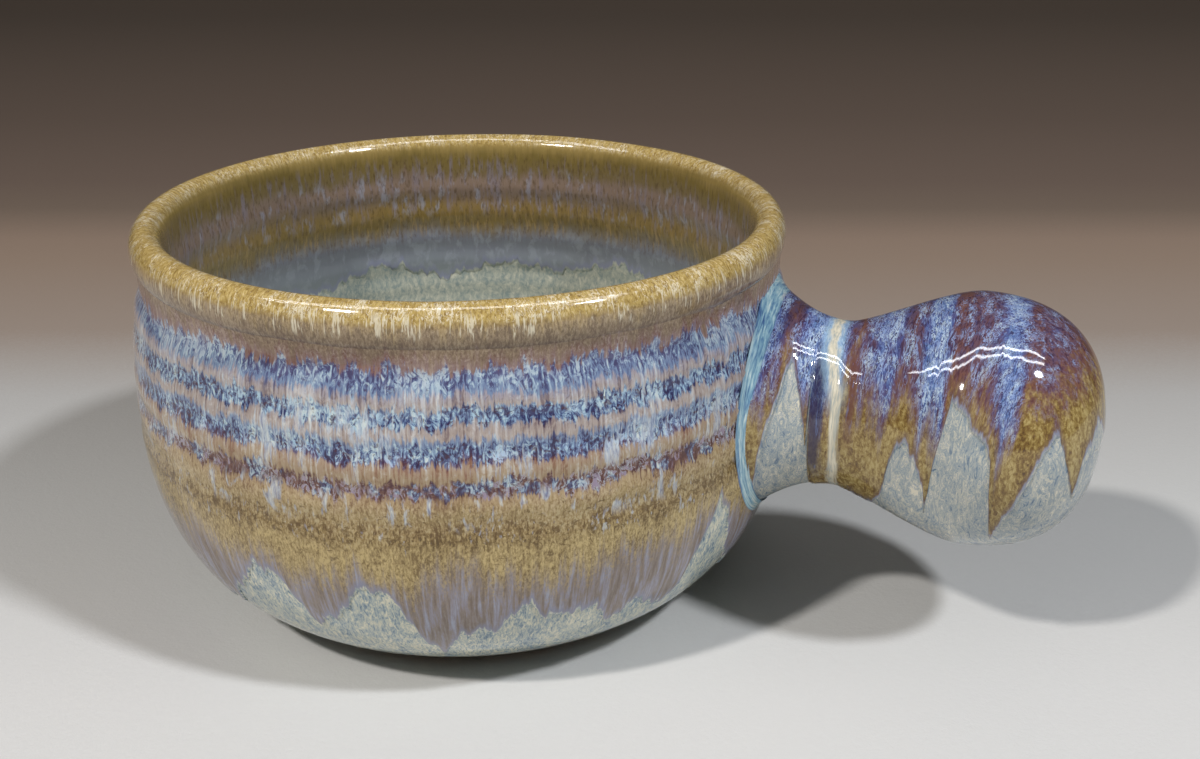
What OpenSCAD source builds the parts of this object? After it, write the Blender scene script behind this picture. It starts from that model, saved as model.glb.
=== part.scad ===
// Hand-thrown soup bowl with one hollow knob handle, under two coats of glaze.
// Millimetres. The table is z = 0, the bowl turns about Z and the handle points along +X.

/* [Bowl] */
// Height of the clay bowl, from the table to the top of the lip
bowl_h = 79.4; // [74:0.2:86]
// Radius of the clay at the belly, the widest place
belly_r = 67.2; // [63:0.2:72]
// Height of the belly above the table, as a share of the bowl's height
belly_share = 0.529; // [0.48:0.005:0.58]
// Radius of the clay at the neck, just under the lip, as a share of the belly's
neck_share = 0.939; // [0.91:0.005:0.95]
// Height from the neck up to the middle of the lip
neck_drop = 5.8; // [5:0.1:8]
// Thickness of the thrown wall at the belly
wall_t = 4.6; // [3.5:0.1:6]
// Thickness of the floor over the turned recess
floor_t = 4.8; // [3.5:0.1:7]
// Radius of the flat middle of the floor
floor_r = 18; // [12:0.5:24]

/* [Lip] */
// Radius at the middle of the rolled lip, as a share of the belly's
lip_share = 0.93; // [0.9:0.005:0.94]
// Thickness of the rolled lip
lip_w = 5.2; // [4:0.1:6.4]
// Height of the rolled lip
lip_h = 7.6; // [6:0.1:9]

/* [Throwing rings] */
// Number of grooves, evenly spaced
ring_count = 5; // [3:1:6]
// Depth of each groove
ring_depth = 0.5; // [0.2:0.05:0.8]
// Drop from the belly to the lowest groove
ring_drop = 0.5; // [0:0.1:3]
// Drop from the neck to the highest groove
ring_margin = 2.3; // [1.5:0.1:4]

/* [Foot] */
// Outer radius of the turned foot ring, as a share of the belly's
foot_share = 0.647; // [0.58:0.005:0.68]
// Width of the foot ring
foot_w = 5; // [4:0.1:8]
// Height of the foot ring's outer side
foot_h = 1.3; // [1:0.1:2.5]
// Step from the foot ring out to the start of the wall
foot_step = 1; // [0.5:0.1:2]
// Depth of the recess inside the foot ring
recess_h = 4.2; // [3:0.1:6]
// Rise of the recess from its rim to its middle
recess_rise = 0.5; // [0.2:0.1:1]
// Slope of the recess side, from the ring to the ceiling
recess_slope = 2; // [1:0.1:4]
// Bevel on both edges of the foot ring
foot_bevel = 0.6; // [0.3:0.1:1.2]
// Width of each shallow line that the turning tool left in the recess
turn_w = 4.5; // [3:0.5:8]
// Depth of each turning line
turn_depth = 0.25; // [0.1:0.05:0.5]

/* [Knob handle] */
// Height of the handle's axis above the belly's
handle_rise = 3.4; // [1:0.2:5]
// Clearance from the neck down to the top of the handle's root
root_margin = 1.1; // [0.5:0.1:4]
// Radius at the waist, as a share of the root's
waist_share = 0.674; // [0.6:0.005:0.75]
// Radius of the knob at its widest, as a share of the root's
knob_share = 1.03; // [0.95:0.005:1.1]
// Distance from the belly out to the waist
waist_reach = 12.5; // [10:0.1:16]
// Distance from the waist to the widest place of the knob
knob_reach = 24.9; // [20:0.1:30]
// Distance from the widest place to the tip
tip_reach = 23.4; // [20:0.1:28]
// Thickness of the hollow handle's wall
handle_t = 4.4; // [3.5:0.1:6]
// Radius of the vent hole under the waist, which lets air out in the kiln
vent_r = 1.2; // [0.8:0.1:2]
// Distance from the waist out to the vent hole
vent_reach = 3; // [1:0.5:6]

/* [Slip and glaze] */
// Thickness of the slip between the handle's root and the wall
slip_t = 1.2; // [0.8:0.1:2]
// Clearance between the slip and the wall's smooth outline, which the grooves stay inside
slip_gap = 0.1; // [0.05:0.01:0.2]
// Thickness of the base coat of glaze
base_t = 0.3; // [0.2:0.02:0.4]
// Thickness of the second coat of glaze
run_t = 0.3; // [0.2:0.02:0.4]
// Clearance between a coat and what it lies on
bond = 0.03; // [0.02:0.01:0.05]
// Thickness of the glaze that pooled in the crease around the handle's root
pool_t = 1.3; // [1:0.1:2]
// Height above the table at which the glaze was wiped off
wipe_z = 2.4; // [2:0.1:4]
// Height of the highest peak of the bare base coat outside, as a share of the belly's height
peak_share = 0.82; // [0.65:0.01:0.88]
// Angle between the handle's root and the peaks beside it
peak_margin = 3; // [2:0.5:8]
// Height of the highest peak of the bare base coat inside, as a share of the bowl's height
inner_peak_share = 0.705; // [0.6:0.005:0.75]
// Height under which the inside is bare of the second coat all round, as a share of that peak's
inner_bare_share = 0.5; // [0.3:0.05:0.6]

/* [Hidden] */
$fn = 96;

// How far a cutting shape runs past what it cuts
overrun = 2;
// Distance from the clay to the underside of the second coat, and to its face
coat_step = base_t + bond;
coats_t = coat_step + run_t;

// Middle of the lip, the neck below it, the belly, the foot ring and the floor's top face
lip_r = lip_share * belly_r;
lip_z = bowl_h - lip_h / 2;
neck_r = neck_share * belly_r;
neck_z = lip_z - neck_drop;
belly_z = belly_share * bowl_h;
foot_r = foot_share * belly_r;
floor_z = recess_h + recess_rise + floor_t;
heel = [foot_r + foot_step, foot_h];
belly = [belly_r, belly_z];
neck = [neck_r, neck_z];
inner_belly = [belly_r - wall_t, belly_z];

// Curve controls of the bowl's outline, as shares of the stretch that each one shapes
heel_lead_share = 0.05;
lower_full_share = 0.85;
upper_lead_share = 0.3;
neck_lead_share = 0.22;
lip_lead_share = 0.4;
inner_lead_share = 0.3;
inner_full_share = 0.8;
floor_lead_share = 0.72;
// Directions of the outline, in degrees from the radius
heel_angle = 32;
neck_angle = 128;
// Stretch of the lip's oval that is free of the wall, in degrees
lip_from = -35;
lip_to = 175;

// Points on each stretch of the bowl's outline
lower_n = 18;
upper_n = 48;
neck_n = 5;
lip_n = 26;
inner_upper_n = 14;
inner_lower_n = 20;

function along(a) = [cos(a), sin(a)];
function bezier(p, q, r, s, n, first) =
    [for (i = [first : n]) let (t = i / n, u = 1 - t)
        u * u * u * p + 3 * t * u * u * q + 3 * t * t * u * r + t * t * t * s];
function lip_point(a) = [lip_r + lip_w / 2 * cos(a), lip_z + lip_h / 2 * sin(a)];
function lip_heading(a) =
    let (v = [-lip_w * sin(a), lip_h * cos(a)]) v / norm(v);

// A line moved outwards by a distance, which is towards the right of its own direction.
// A point on the axis stays on it.
function shifted(line, distance) =
    [for (i = [0 : len(line) - 1])
        let (v = line[min(i + 1, len(line) - 1)] - line[max(i - 1, 0)])
        line[i][0] == 0
            ? [0, line[i][1] - distance * sign(v[0])]
            : line[i] + distance * [v[1], -v[0]] / norm(v)];
function part_of(line, first, last) = [for (i = [first : last]) line[i]];
function reversed(line) = [for (i = [len(line) - 1 : -1 : 0]) line[i]];
// A closed outline between two lines that run the same way
function band(outer, inner) = concat(outer, reversed(inner));

// Depth of the throwing grooves at a height: a cosine that fades in and out over one pitch
function eased(t) = let (c = max(0, min(1, t))) c * c * (3 - 2 * c);
ring_z = belly_z - ring_drop;
ring_pitch = (neck_z - ring_margin - ring_z) / (ring_count - 1);
// Height past the neck at which the grooves have faded out, as a share of the pitch
fade_share = 0.5;
function groove(z) =
    ring_depth * (1 + cos(360 * (z - ring_z) / ring_pitch)) / 2
    * eased((z - ring_z + ring_pitch) / ring_pitch)
    * eased((neck_z - z) / ring_pitch + fade_share);
function grooved(line) = [for (p = line) [p[0] - groove(p[1]), p[1]]];

// The outside of the bowl from the heel to the neck, with as many points as are asked for
function lower_line(n) =
    bezier(heel, heel + heel_lead_share * belly_z * along(heel_angle),
           belly - [0, lower_full_share * (belly_z - foot_h)], belly, n, 0);
function upper_line(n) =
    bezier(belly, belly + [0, upper_lead_share * (neck_z - belly_z)],
           neck - neck_lead_share * (neck_z - belly_z) * along(neck_angle), neck, n, 1);
neck_line =
    bezier(neck, neck + lip_lead_share * neck_drop * along(neck_angle),
           lip_point(lip_from) - lip_lead_share * neck_drop * lip_heading(lip_from),
           lip_point(lip_from), neck_n, 1);
lip_line = [for (i = [1 : lip_n]) lip_point(lip_from + (lip_to - lip_from) * i / lip_n)];
inner_upper_line =
    bezier(lip_point(lip_to),
           lip_point(lip_to) + inner_lead_share * (lip_z - belly_z) * lip_heading(lip_to),
           inner_belly + [0, inner_lead_share * (lip_z - belly_z)], inner_belly, inner_upper_n, 1);
inner_lower_line =
    bezier(inner_belly, inner_belly - [0, inner_full_share * (belly_z - floor_z)],
           [floor_r + floor_lead_share * (inner_belly[0] - floor_r), floor_z],
           [floor_r, floor_z], inner_lower_n, 1);

// The whole clay surface that takes glaze, from the heel over the lip to the middle of the floor
outer_line = grooved(concat(lower_line(lower_n), upper_line(upper_n)));
clay_line = concat(outer_line, neck_line, lip_line, inner_upper_line, inner_lower_line,
                   [[floor_r / 2, floor_z], [0, floor_z]]);
lip_first = len(outer_line) + neck_n - 1;
lip_last = lip_first + lip_n;
wipe_first = len([for (p = lower_line(lower_n)) if (p[1] < wipe_z) p]);
line_last = len(clay_line) - 1;

// The underside, from the middle of the recess out to the heel
recess_r = foot_r - foot_w - recess_slope;
turn_count = floor(recess_r / turn_w) - 1;
function recess_height(r) = recess_h + recess_rise * (1 - pow(r / recess_r, 2));
turn_lines = [for (i = [1 : turn_count]) let (r = i * turn_w)
    each [[r - turn_w / 2, recess_height(r)], [r, recess_height(r) + turn_depth]]];
foot_line = [[recess_r, recess_h], [foot_r - foot_w, foot_bevel], [foot_r - foot_w + foot_bevel, 0],
             [foot_r - foot_bevel, 0], [foot_r, foot_bevel], [foot_r, (foot_h + foot_bevel) / 2]];

// The handle's outline: distance from the bowl's axis against radius about its own axis
handle_z = belly_z + handle_rise;
root_r = neck_z - root_margin - handle_z;
waist_r = waist_share * root_r;
knob_r = knob_share * root_r;
root_s = sqrt(belly_r * belly_r - root_r * root_r) - overrun;
waist_s = belly_r + waist_reach;
knob_s = waist_s + knob_reach;
tip_s = knob_s + tip_reach;
handle_len = tip_s - root_s;
root_lead_share = 0.21;
waist_in_share = 0.54;
waist_out_share = 0.15;
knob_in_share = 0.25;
knob_out_share = 0.54;
tip_full_share = 0.77;
flare_n = 14;
swell_n = 14;
cap_n = 20;
handle_line = concat(
    bezier([root_r, root_s], [root_r, root_s + root_lead_share * (waist_s - root_s)],
           [waist_r, waist_s - waist_in_share * (waist_s - root_s)], [waist_r, waist_s], flare_n, 0),
    bezier([waist_r, waist_s], [waist_r, waist_s + waist_out_share * knob_reach],
           [knob_r, knob_s - knob_in_share * knob_reach], [knob_r, knob_s], swell_n, 1),
    bezier([knob_r, knob_s], [knob_r, knob_s + knob_out_share * tip_reach],
           [tip_full_share * knob_r, tip_s], [0, tip_s], cap_n, 1));

// Heights of the highest peaks of bare base coat, and of the bare floor
peak_z = peak_share * belly_z;
inner_peak_z = inner_peak_share * bowl_h;
inner_bare_z = inner_bare_share * inner_peak_z;
// Azimuth of the peaks on both sides of the handle's root
beside = asin(root_r / belly_r) + peak_margin;

// Peaks of bare base coat between the runs outside: azimuth, height share of peak_z,
// then the rise per width of the left and of the right side
outer_peak_shares = [[-161, 0.62, 0.9, 1.1], [-139, 0.5, 1, 0.8], [-120, 0.58, 0.9, 1.2],
                     [-101, 0.77, 1.1, 1.2], [-83, 0.78, 1, 1.5], [-57, 0.62, 0.8, 0.5],
                     [-beside, 1, 0.95, 1.3], [0, 0.45, 0.8, 0.8], [beside, 0.9, 1.2, 0.9],
                     [52, 0.66, 0.7, 1.1], [77, 0.8, 1.2, 1], [101, 0.55, 0.8, 0.9],
                     [124, 0.74, 1.2, 1.1], [146, 0.6, 0.9, 1.2], [171, 0.8, 1.1, 1]];
// The same inside, as shares of inner_peak_z
inner_peak_shares = [[-170, 0.9, 0.5, 0.6], [-141, 0.82, 0.4, 0.5], [-112, 0.92, 0.6, 0.5],
                     [-80, 0.84, 0.5, 0.5], [-48, 0.9, 0.4, 0.6], [-18, 0.86, 0.5, 0.4],
                     [12, 0.96, 0.6, 0.5], [43, 0.9, 0.4, 0.5], [74, 1, 0.6, 0.6],
                     [104, 0.9, 0.5, 0.5], [133, 0.97, 0.5, 0.6], [162, 0.84, 0.4, 0.5]];
// Line between the coats on the handle: share of its length from the root, share of knob_r above
// its axis
handle_edge_shares = [[0.01, -0.25], [0.105, 0.44], [0.195, -0.67], [0.31, -0.7], [0.43, 0.08],
                      [0.49, -0.46], [0.575, 0.48], [0.675, -0.83], [0.845, 0.11], [0.94, -0.5],
                      [1.03, -0.25]];

// A solid turned about the handle's axis, its line given as radius and distance
module on_handle_axis() {
    translate([0, 0, handle_z]) rotate([0, 90, 0]) children();
}

// The bowl's smooth outside, grown by a distance
function smooth_wall(growth) =
    shifted(concat(lower_line(lower_n), upper_line(lower_n), neck_line), growth);

// The bowl's smooth outside, grown by a distance and filled to its axis
module wall_solid(growth) {
    line = smooth_wall(growth);
    rotate_extrude() polygon(concat([[0, line[0][1]]], line, [[0, line[len(line) - 1][1]]]));
}

// A layer over the bowl's smooth outside
module wall_layer(from, to) {
    rotate_extrude() polygon(band(smooth_wall(to), smooth_wall(from)));
}

// A layer over the handle's outside
module handle_layer(from, to) {
    on_handle_axis() rotate_extrude()
        polygon(band(shifted(handle_line, to), shifted(handle_line, from)));
}

// The handle's outside, grown by a distance and filled to its axis
module handle_solid(growth) {
    line = shifted(handle_line, growth);
    on_handle_axis() rotate_extrude() polygon(concat([[0, root_s]], line));
}

// A coat on the bowl between two stretches of the clay line
module bowl_coat(first, last, from_clay, thickness) {
    rotate_extrude()
        polygon(band(part_of(shifted(clay_line, from_clay + thickness), first, last),
                     part_of(shifted(clay_line, from_clay), first, last)));
}

// A coat on the handle, cut to the coats on the wall
module handle_coat(from_clay, thickness) {
    difference() {
        handle_layer(from_clay, from_clay + thickness);
        wall_solid(coats_t + bond);
        vent(bond);
    }
}

// The vent hole, widened by a clearance
module vent(clearance) {
    translate([waist_s + vent_reach, 0, handle_z - waist_r - knob_r])
        cylinder(r = vent_r + clearance, h = waist_r + knob_r);
}

// Tents that stand on the table around the bowl, whose sides are the edges of the glaze runs
module peaks(shares, top_z, radius) {
    for (s = shares)
        rotate([0, 0, s[0]])
            translate([radius / 2, 0, 0])
                rotate([90, 0, 90])
                    linear_extrude(radius)
                        polygon([[-s[1] * top_z / s[2], 0], [s[1] * top_z / s[3], 0],
                                 [0, s[1] * top_z]]);
}

// The room under the edge of the runs on the handle
module handle_peaks() {
    line = [for (s = handle_edge_shares) [root_s + s[0] * handle_len, handle_z + s[1] * knob_r]];
    translate([0, knob_r + overrun, 0]) rotate([90, 0, 0])
        linear_extrude(2 * (knob_r + overrun))
            polygon(concat([[line[0][0], handle_z - knob_r - overrun]], line,
                           [[line[len(line) - 1][0], handle_z - knob_r - overrun]]));
}

// Thrown clay bowl: turned foot ring, floor, belly with throwing grooves and rolled lip
module bowl_body() {
    color("wheat")
        rotate_extrude()
            polygon(concat([[0, recess_h + recess_rise]], turn_lines, foot_line, clay_line));
}

// Hollow thrown knob handle, its root cut to the curve of the wall
module knob_handle() {
    color("burlywood")
        difference() {
            handle_layer(-handle_t, 0);
            wall_solid(slip_t);
            vent(0);
        }
}

// Ring of slip that bonds the root to the wall
module joint_slip() {
    color("tan")
        intersection() {
            handle_layer(-handle_t, 0);
            wall_layer(slip_gap, slip_t - bond);
        }
}

// Base coat, pale grey-green: one dip over the whole bowl, wiped off above the foot
module base_glaze() {
    color("#a9b3ab")
        union() {
            difference() {
                bowl_coat(wipe_first, lip_first, bond, base_t - bond);
                handle_solid(coats_t);
            }
            bowl_coat(lip_first - 1, line_last, bond, base_t - bond);
        }
}

// Second coat outside, blue over ochre, ending below in pointed runs
module wall_run_glaze() {
    color("#6c6a86")
        difference() {
            bowl_coat(wipe_first, lip_first, coat_step, run_t);
            handle_solid(coats_t);
            peaks(outer_peak_shares, peak_z, belly_r);
        }
}

// Second coat over the lip, where it drained thin and broke to honey brown
module lip_glaze() {
    color("#a5854f")
        bowl_coat(lip_first, lip_last, coat_step, run_t);
}

// Second coat inside, ending below in pointed runs
module inner_run_glaze() {
    color("#8a7a5c")
        difference() {
            bowl_coat(lip_last, line_last, coat_step, run_t);
            peaks(inner_peak_shares, inner_peak_z, belly_r);
            cylinder(r = belly_r, h = inner_bare_z);
        }
}

// Base coat of the handle
module handle_base_glaze() {
    color("#a3aeb0")
        handle_coat(bond, base_t - bond);
}

// Second coat of the handle, ending below in pointed runs
module handle_run_glaze() {
    color("#6f5a68")
        difference() {
            handle_coat(coat_step, run_t);
            handle_peaks();
        }
}

// Thick turquoise glaze that pooled in the crease around the root
module crease_glaze() {
    color("#7fb4c4")
        intersection() {
            handle_layer(coats_t + bond, coats_t + pool_t);
            wall_layer(coats_t + bond, coats_t + pool_t);
        }
}

bowl_body();
knob_handle();
joint_slip();
base_glaze();
wall_run_glaze();
lip_glaze();
inner_run_glaze();
handle_base_glaze();
handle_run_glaze();
crease_glaze();
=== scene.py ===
"""Looks of a hand-thrown soup bowl with one hollow knob handle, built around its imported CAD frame."""

import logging
import math
from collections.abc import Sequence
from dataclasses import dataclass, field
from enum import Enum
from functools import partial, reduce

import bmesh
import bpy
import numpy as np
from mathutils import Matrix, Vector


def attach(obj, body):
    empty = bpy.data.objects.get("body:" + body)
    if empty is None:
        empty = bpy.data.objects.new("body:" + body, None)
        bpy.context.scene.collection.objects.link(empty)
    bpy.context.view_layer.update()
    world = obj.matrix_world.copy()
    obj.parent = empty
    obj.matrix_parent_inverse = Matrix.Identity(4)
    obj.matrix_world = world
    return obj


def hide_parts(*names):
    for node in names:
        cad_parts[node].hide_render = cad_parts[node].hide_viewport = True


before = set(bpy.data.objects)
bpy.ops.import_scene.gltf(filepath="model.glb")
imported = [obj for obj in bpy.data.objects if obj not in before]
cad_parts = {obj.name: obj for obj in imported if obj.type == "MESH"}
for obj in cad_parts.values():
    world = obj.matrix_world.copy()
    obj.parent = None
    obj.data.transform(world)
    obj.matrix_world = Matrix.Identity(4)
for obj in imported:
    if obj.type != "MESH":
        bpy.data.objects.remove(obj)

LOG = logging.getLogger("soup_bowl")
MM = 0.001
TURN = 2 * math.pi
# Edges that are bent by more than this stay crisp, in radians
SHARP = 0.9
# What is left of a coat's thickness at its edge
EDGE_LEFT = 0.02
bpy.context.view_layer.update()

Socket = bpy.types.NodeSocket
# A number, or the socket that gives it
Amount = float | Socket
# Places of a colour ramp, each with a hex colour or a plain level
Stops = Sequence[tuple[float, str | float]]


def linear(colour: str) -> tuple[float, float, float, float]:
    """Turns an sRGB hex colour into the linear colour that Blender's nodes take.

    Args:
        colour: Six hex digits, with or without a leading hash.

    Returns:
        Red, green, blue and an alpha of 1.
    """
    digits = colour.lstrip("#")
    parts = [int(digits[i:i + 2], 16) / 255 for i in (0, 2, 4)]
    return (*[c / 12.92 if c <= 0.04045 else ((c + 0.055) / 1.055) ** 2.4 for c in parts], 1.0)


@dataclass(frozen=True)
class Recipe:
    """What one short name stands for: a type of node, its settings, its inputs in order, and its output."""

    kind: str
    settings: dict = field(default_factory=dict)
    inputs: tuple = (0, 1, 2, 3, 4, 5)
    output: int | str = 0


RECIPES = {
    "plus": Recipe("ShaderNodeMath", {"operation": "ADD"}),
    "minus": Recipe("ShaderNodeMath", {"operation": "SUBTRACT"}),
    "times": Recipe("ShaderNodeMath", {"operation": "MULTIPLY"}),
    "ratio": Recipe("ShaderNodeMath", {"operation": "DIVIDE"}),
    "cosine": Recipe("ShaderNodeMath", {"operation": "COSINE"}),
    "size": Recipe("ShaderNodeMath", {"operation": "ABSOLUTE"}),
    "step": Recipe("ShaderNodeMapRange", {"interpolation_type": "SMOOTHSTEP"}),
    "lay": Recipe("ShaderNodeMix", {"data_type": "RGBA"}, (0, 6, 7), 2),
    "noise": Recipe("ShaderNodeTexNoise", {}, ("Vector", "Scale", "Detail", "Roughness", "Distortion")),
    "seeded": Recipe("ShaderNodeTexNoise", {"noise_dimensions": "4D"},
                     ("Vector", "W", "Scale", "Detail", "Roughness", "Distortion")),
    "placed": Recipe("ShaderNodeVectorMath", {"operation": "MULTIPLY_ADD"}),
    "shift": Recipe("ShaderNodeVectorMath", {"operation": "ADD"}),
    "grow": Recipe("ShaderNodeVectorMath", {"operation": "SCALE"}, (0, "Scale")),
    "turned": Recipe("ShaderNodeVectorRotate", {"rotation_type": "Z_AXIS"}, ("Vector", "Angle")),
    "parts": Recipe("ShaderNodeSeparateXYZ"),
    "whole": Recipe("ShaderNodeCombineXYZ"),
    "tones": Recipe("ShaderNodeValToRGB"),
    "bump": Recipe("ShaderNodeBump", {}, ("Strength", "Distance", "Height", "Normal")),
    "glass": Recipe("ShaderNodeBsdfPrincipled", {}, ("Base Color", "Roughness", "IOR", "Normal")),
    "on_piece": Recipe("ShaderNodeAttribute", {"attribute_type": "GEOMETRY"}, (), "Fac"),
    "place": Recipe("ShaderNodeTexCoord", {}, (), "Object"),
    "held": Recipe("GeometryNodeInputNamedAttribute", {}, ("Name",), "Attribute"),
    "moved": Recipe("GeometryNodeSetPosition", {}, ("Geometry", "Position")),
    "stood": Recipe("GeometryNodeTransform", {}, ("Geometry", "Translation", "Rotation")),
    "merged": Recipe("GeometryNodeMergeByDistance", {}, ("Geometry", "Distance")),
    "smoothed": Recipe("GeometryNodeSetShadeSmooth"),
    "real": Recipe("GeometryNodeRealizeInstances"),
    "dressed": Recipe("GeometryNodeSetMaterial", {}, ("Geometry", "Material")),
}


class Bench:
    """A node tree while it is being put together."""

    def __init__(self, tree: bpy.types.NodeTree) -> None:
        """Takes the shader or geometry tree that the nodes go into."""
        self.tree = tree

    def add(self, name: str, *inputs: Amount | tuple | None, out: int | str | None = None,
            stops: Stops | None = None, **settings: object) -> Socket:
        """Adds one node with its settings and links.

        Args:
            name: A name from RECIPES.
            inputs: A value or a socket for each input in order, None to leave one as it is.
            out: The output to return, where it isn't the recipe's own.
            stops: What the node's colour ramp holds, where it has one.
            settings: The node's properties.

        Returns:
            The chosen output socket.
        """
        recipe = RECIPES[name]
        node = self.tree.nodes.new(recipe.kind)
        for key, value in {**recipe.settings, **settings}.items():
            setattr(node, key, value)
        for key, value in zip(recipe.inputs, inputs):
            if isinstance(value, Socket):
                self.tree.links.new(value, node.inputs[key])
            elif value is not None:
                node.inputs[key].default_value = value
        if stops:
            line = node.color_ramp.elements
            while len(line) < len(stops):
                line.new(0.5)
            for element, (place, colour) in zip(line, stops):
                element.position = place
                element.color = linear(colour) if isinstance(colour, str) else (colour, colour, colour, 1)
        return node.outputs[recipe.output if out is None else out]


def hung(name: str, data: bpy.types.ID) -> bpy.types.Object:
    """Puts a mesh, a lamp or a camera into the scene.

    Args:
        name: Name of the object.
        data: What it holds.

    Returns:
        The object, at the origin.
    """
    thing = bpy.data.objects.new(name, data)
    bpy.context.scene.collection.objects.link(thing)
    return thing


def plain_mesh(piece: bpy.types.Object) -> bpy.types.Mesh:
    """The mesh of a piece with its modifiers applied."""
    return bpy.data.meshes.new_from_object(piece.evaluated_get(bpy.context.evaluated_depsgraph_get()))


def bezier(p: Sequence, q: Sequence, r: Sequence, s: Sequence, count: int) -> np.ndarray:
    """Points on a cubic curve.

    Args:
        p: First end.
        q: Control of the first end.
        r: Control of the second end.
        s: Second end.
        count: Number of steps.

    Returns:
        The points, one more than the steps.
    """
    t = np.linspace(0, 1, count + 1)[:, None]
    u = 1 - t
    first, last = u**3 * np.array(p) + 3 * t * u * u * np.array(q), 3 * t * t * u * np.array(r)
    return first + last + t**3 * np.array(s)


def heading(angle: float) -> np.ndarray:
    """The direction at an angle in degrees from the radius."""
    return np.array([math.cos(math.radians(angle)), math.sin(math.radians(angle))])


def eased(x: np.ndarray) -> np.ndarray:
    """A smooth step from 0 to 1 over 0 to 1."""
    c = np.clip(x, 0, 1)
    return c * c * (3 - 2 * c)


def rounded(gap: np.ndarray, width: float) -> np.ndarray:
    """How full a coat is at a distance from its edge, rounded over a width.

    Args:
        gap: Distances from the edge.
        width: Where the coat is full.

    Returns:
        Shares from EDGE_LEFT to 1.
    """
    left = 1 - np.clip(gap / width, 0, 1)
    return np.maximum(np.sqrt(np.clip(1 - left ** 2, 0, 1)), EDGE_LEFT)


def grid_faces(columns: int, rows: int, ring: bool = True) -> list[list[int]]:
    """Faces of a grid of points whose columns are closed loops.

    Args:
        columns: Number of loops.
        rows: Points in each loop.
        ring: Whether the last loop joins the first.

    Returns:
        The four point numbers of each face.
    """
    column = np.arange(columns if ring else columns - 1)[:, None]
    row = np.arange(rows)[None, :]
    after, below = (column + 1) % columns, (row + 1) % rows
    corners = (column * rows + row, after * rows + row, after * rows + below, column * rows + below)
    return np.stack(corners, -1).reshape(-1, 4).tolist()


class Outline:
    """A turned clay outline, with its length, places and outward directions in millimetres."""

    def __init__(self, points: np.ndarray) -> None:
        """Measures the outline.

        Args:
            points: Radius and height of each point, in order.
        """
        keep = np.r_[True, np.linalg.norm(np.diff(points, axis=0), axis=1) > 1e-6]
        self.points = points[keep]
        ahead = np.gradient(self.points, axis=0)
        ahead /= np.linalg.norm(ahead, axis=1)[:, None]
        self.facing = np.column_stack([ahead[:, 1], -ahead[:, 0]])
        # The last point lies on the axis, where a closed form faces along it
        self.facing[-1] = (0.0, 1.0)
        steps = np.linalg.norm(np.diff(self.points, axis=0), axis=1)
        self.along = np.r_[0, np.cumsum(steps)]

    def at(self, along: np.ndarray) -> tuple[np.ndarray, np.ndarray]:
        """Places and outward directions at given lengths.

        Args:
            along: Lengths from the start.

        Returns:
            Points and unit directions, each with a last axis of radius and height.
        """
        place, face = [np.stack([np.interp(along, self.along, line[:, k]) for k in (0, 1)], -1)
                       for line in (self.points, self.facing)]
        return place, face / np.linalg.norm(face, axis=-1)[..., None]


# Detail, roughness and distortion of the noise that a hand's wobble follows
WOBBLE_NOISE = (1.0, 0.4, 0.0)
# Lengths in millimetres of the waves that make up the teeth of a run's edge
TOOTH_WAVES = (7.0, 4.1, 2.6, 1.7, 1.1)


@dataclass(frozen=True)
class RunEdge:
    """The lower edge of a second coat, from listed corners, with the small teeth that glaze runs have."""

    corners: tuple
    tooth: float = 0.55
    period: float = 360.0
    seed: int = 3

    def height(self, where: np.ndarray, per_mm: float) -> np.ndarray:
        """Height of the edge.

        Args:
            where: Azimuths in degrees, or distances in millimetres.
            per_mm: What one millimetre is in that unit.

        Returns:
            Heights in millimetres.
        """
        height = np.interp(where, *np.array(self.corners, float).T, period=self.period or None)
        span = self.period or 1.0
        draw = np.random.RandomState(self.seed)
        for wave in TOOTH_WAVES:
            turns = max(1, round(span / (wave * per_mm))) if self.period else 1 / (wave * per_mm)
            phase = draw.uniform(0, TURN)
            height = height + self.tooth * (wave / 4) ** 0.6 * np.sin(TURN * turns * where / span + phase)
        return height


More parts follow.
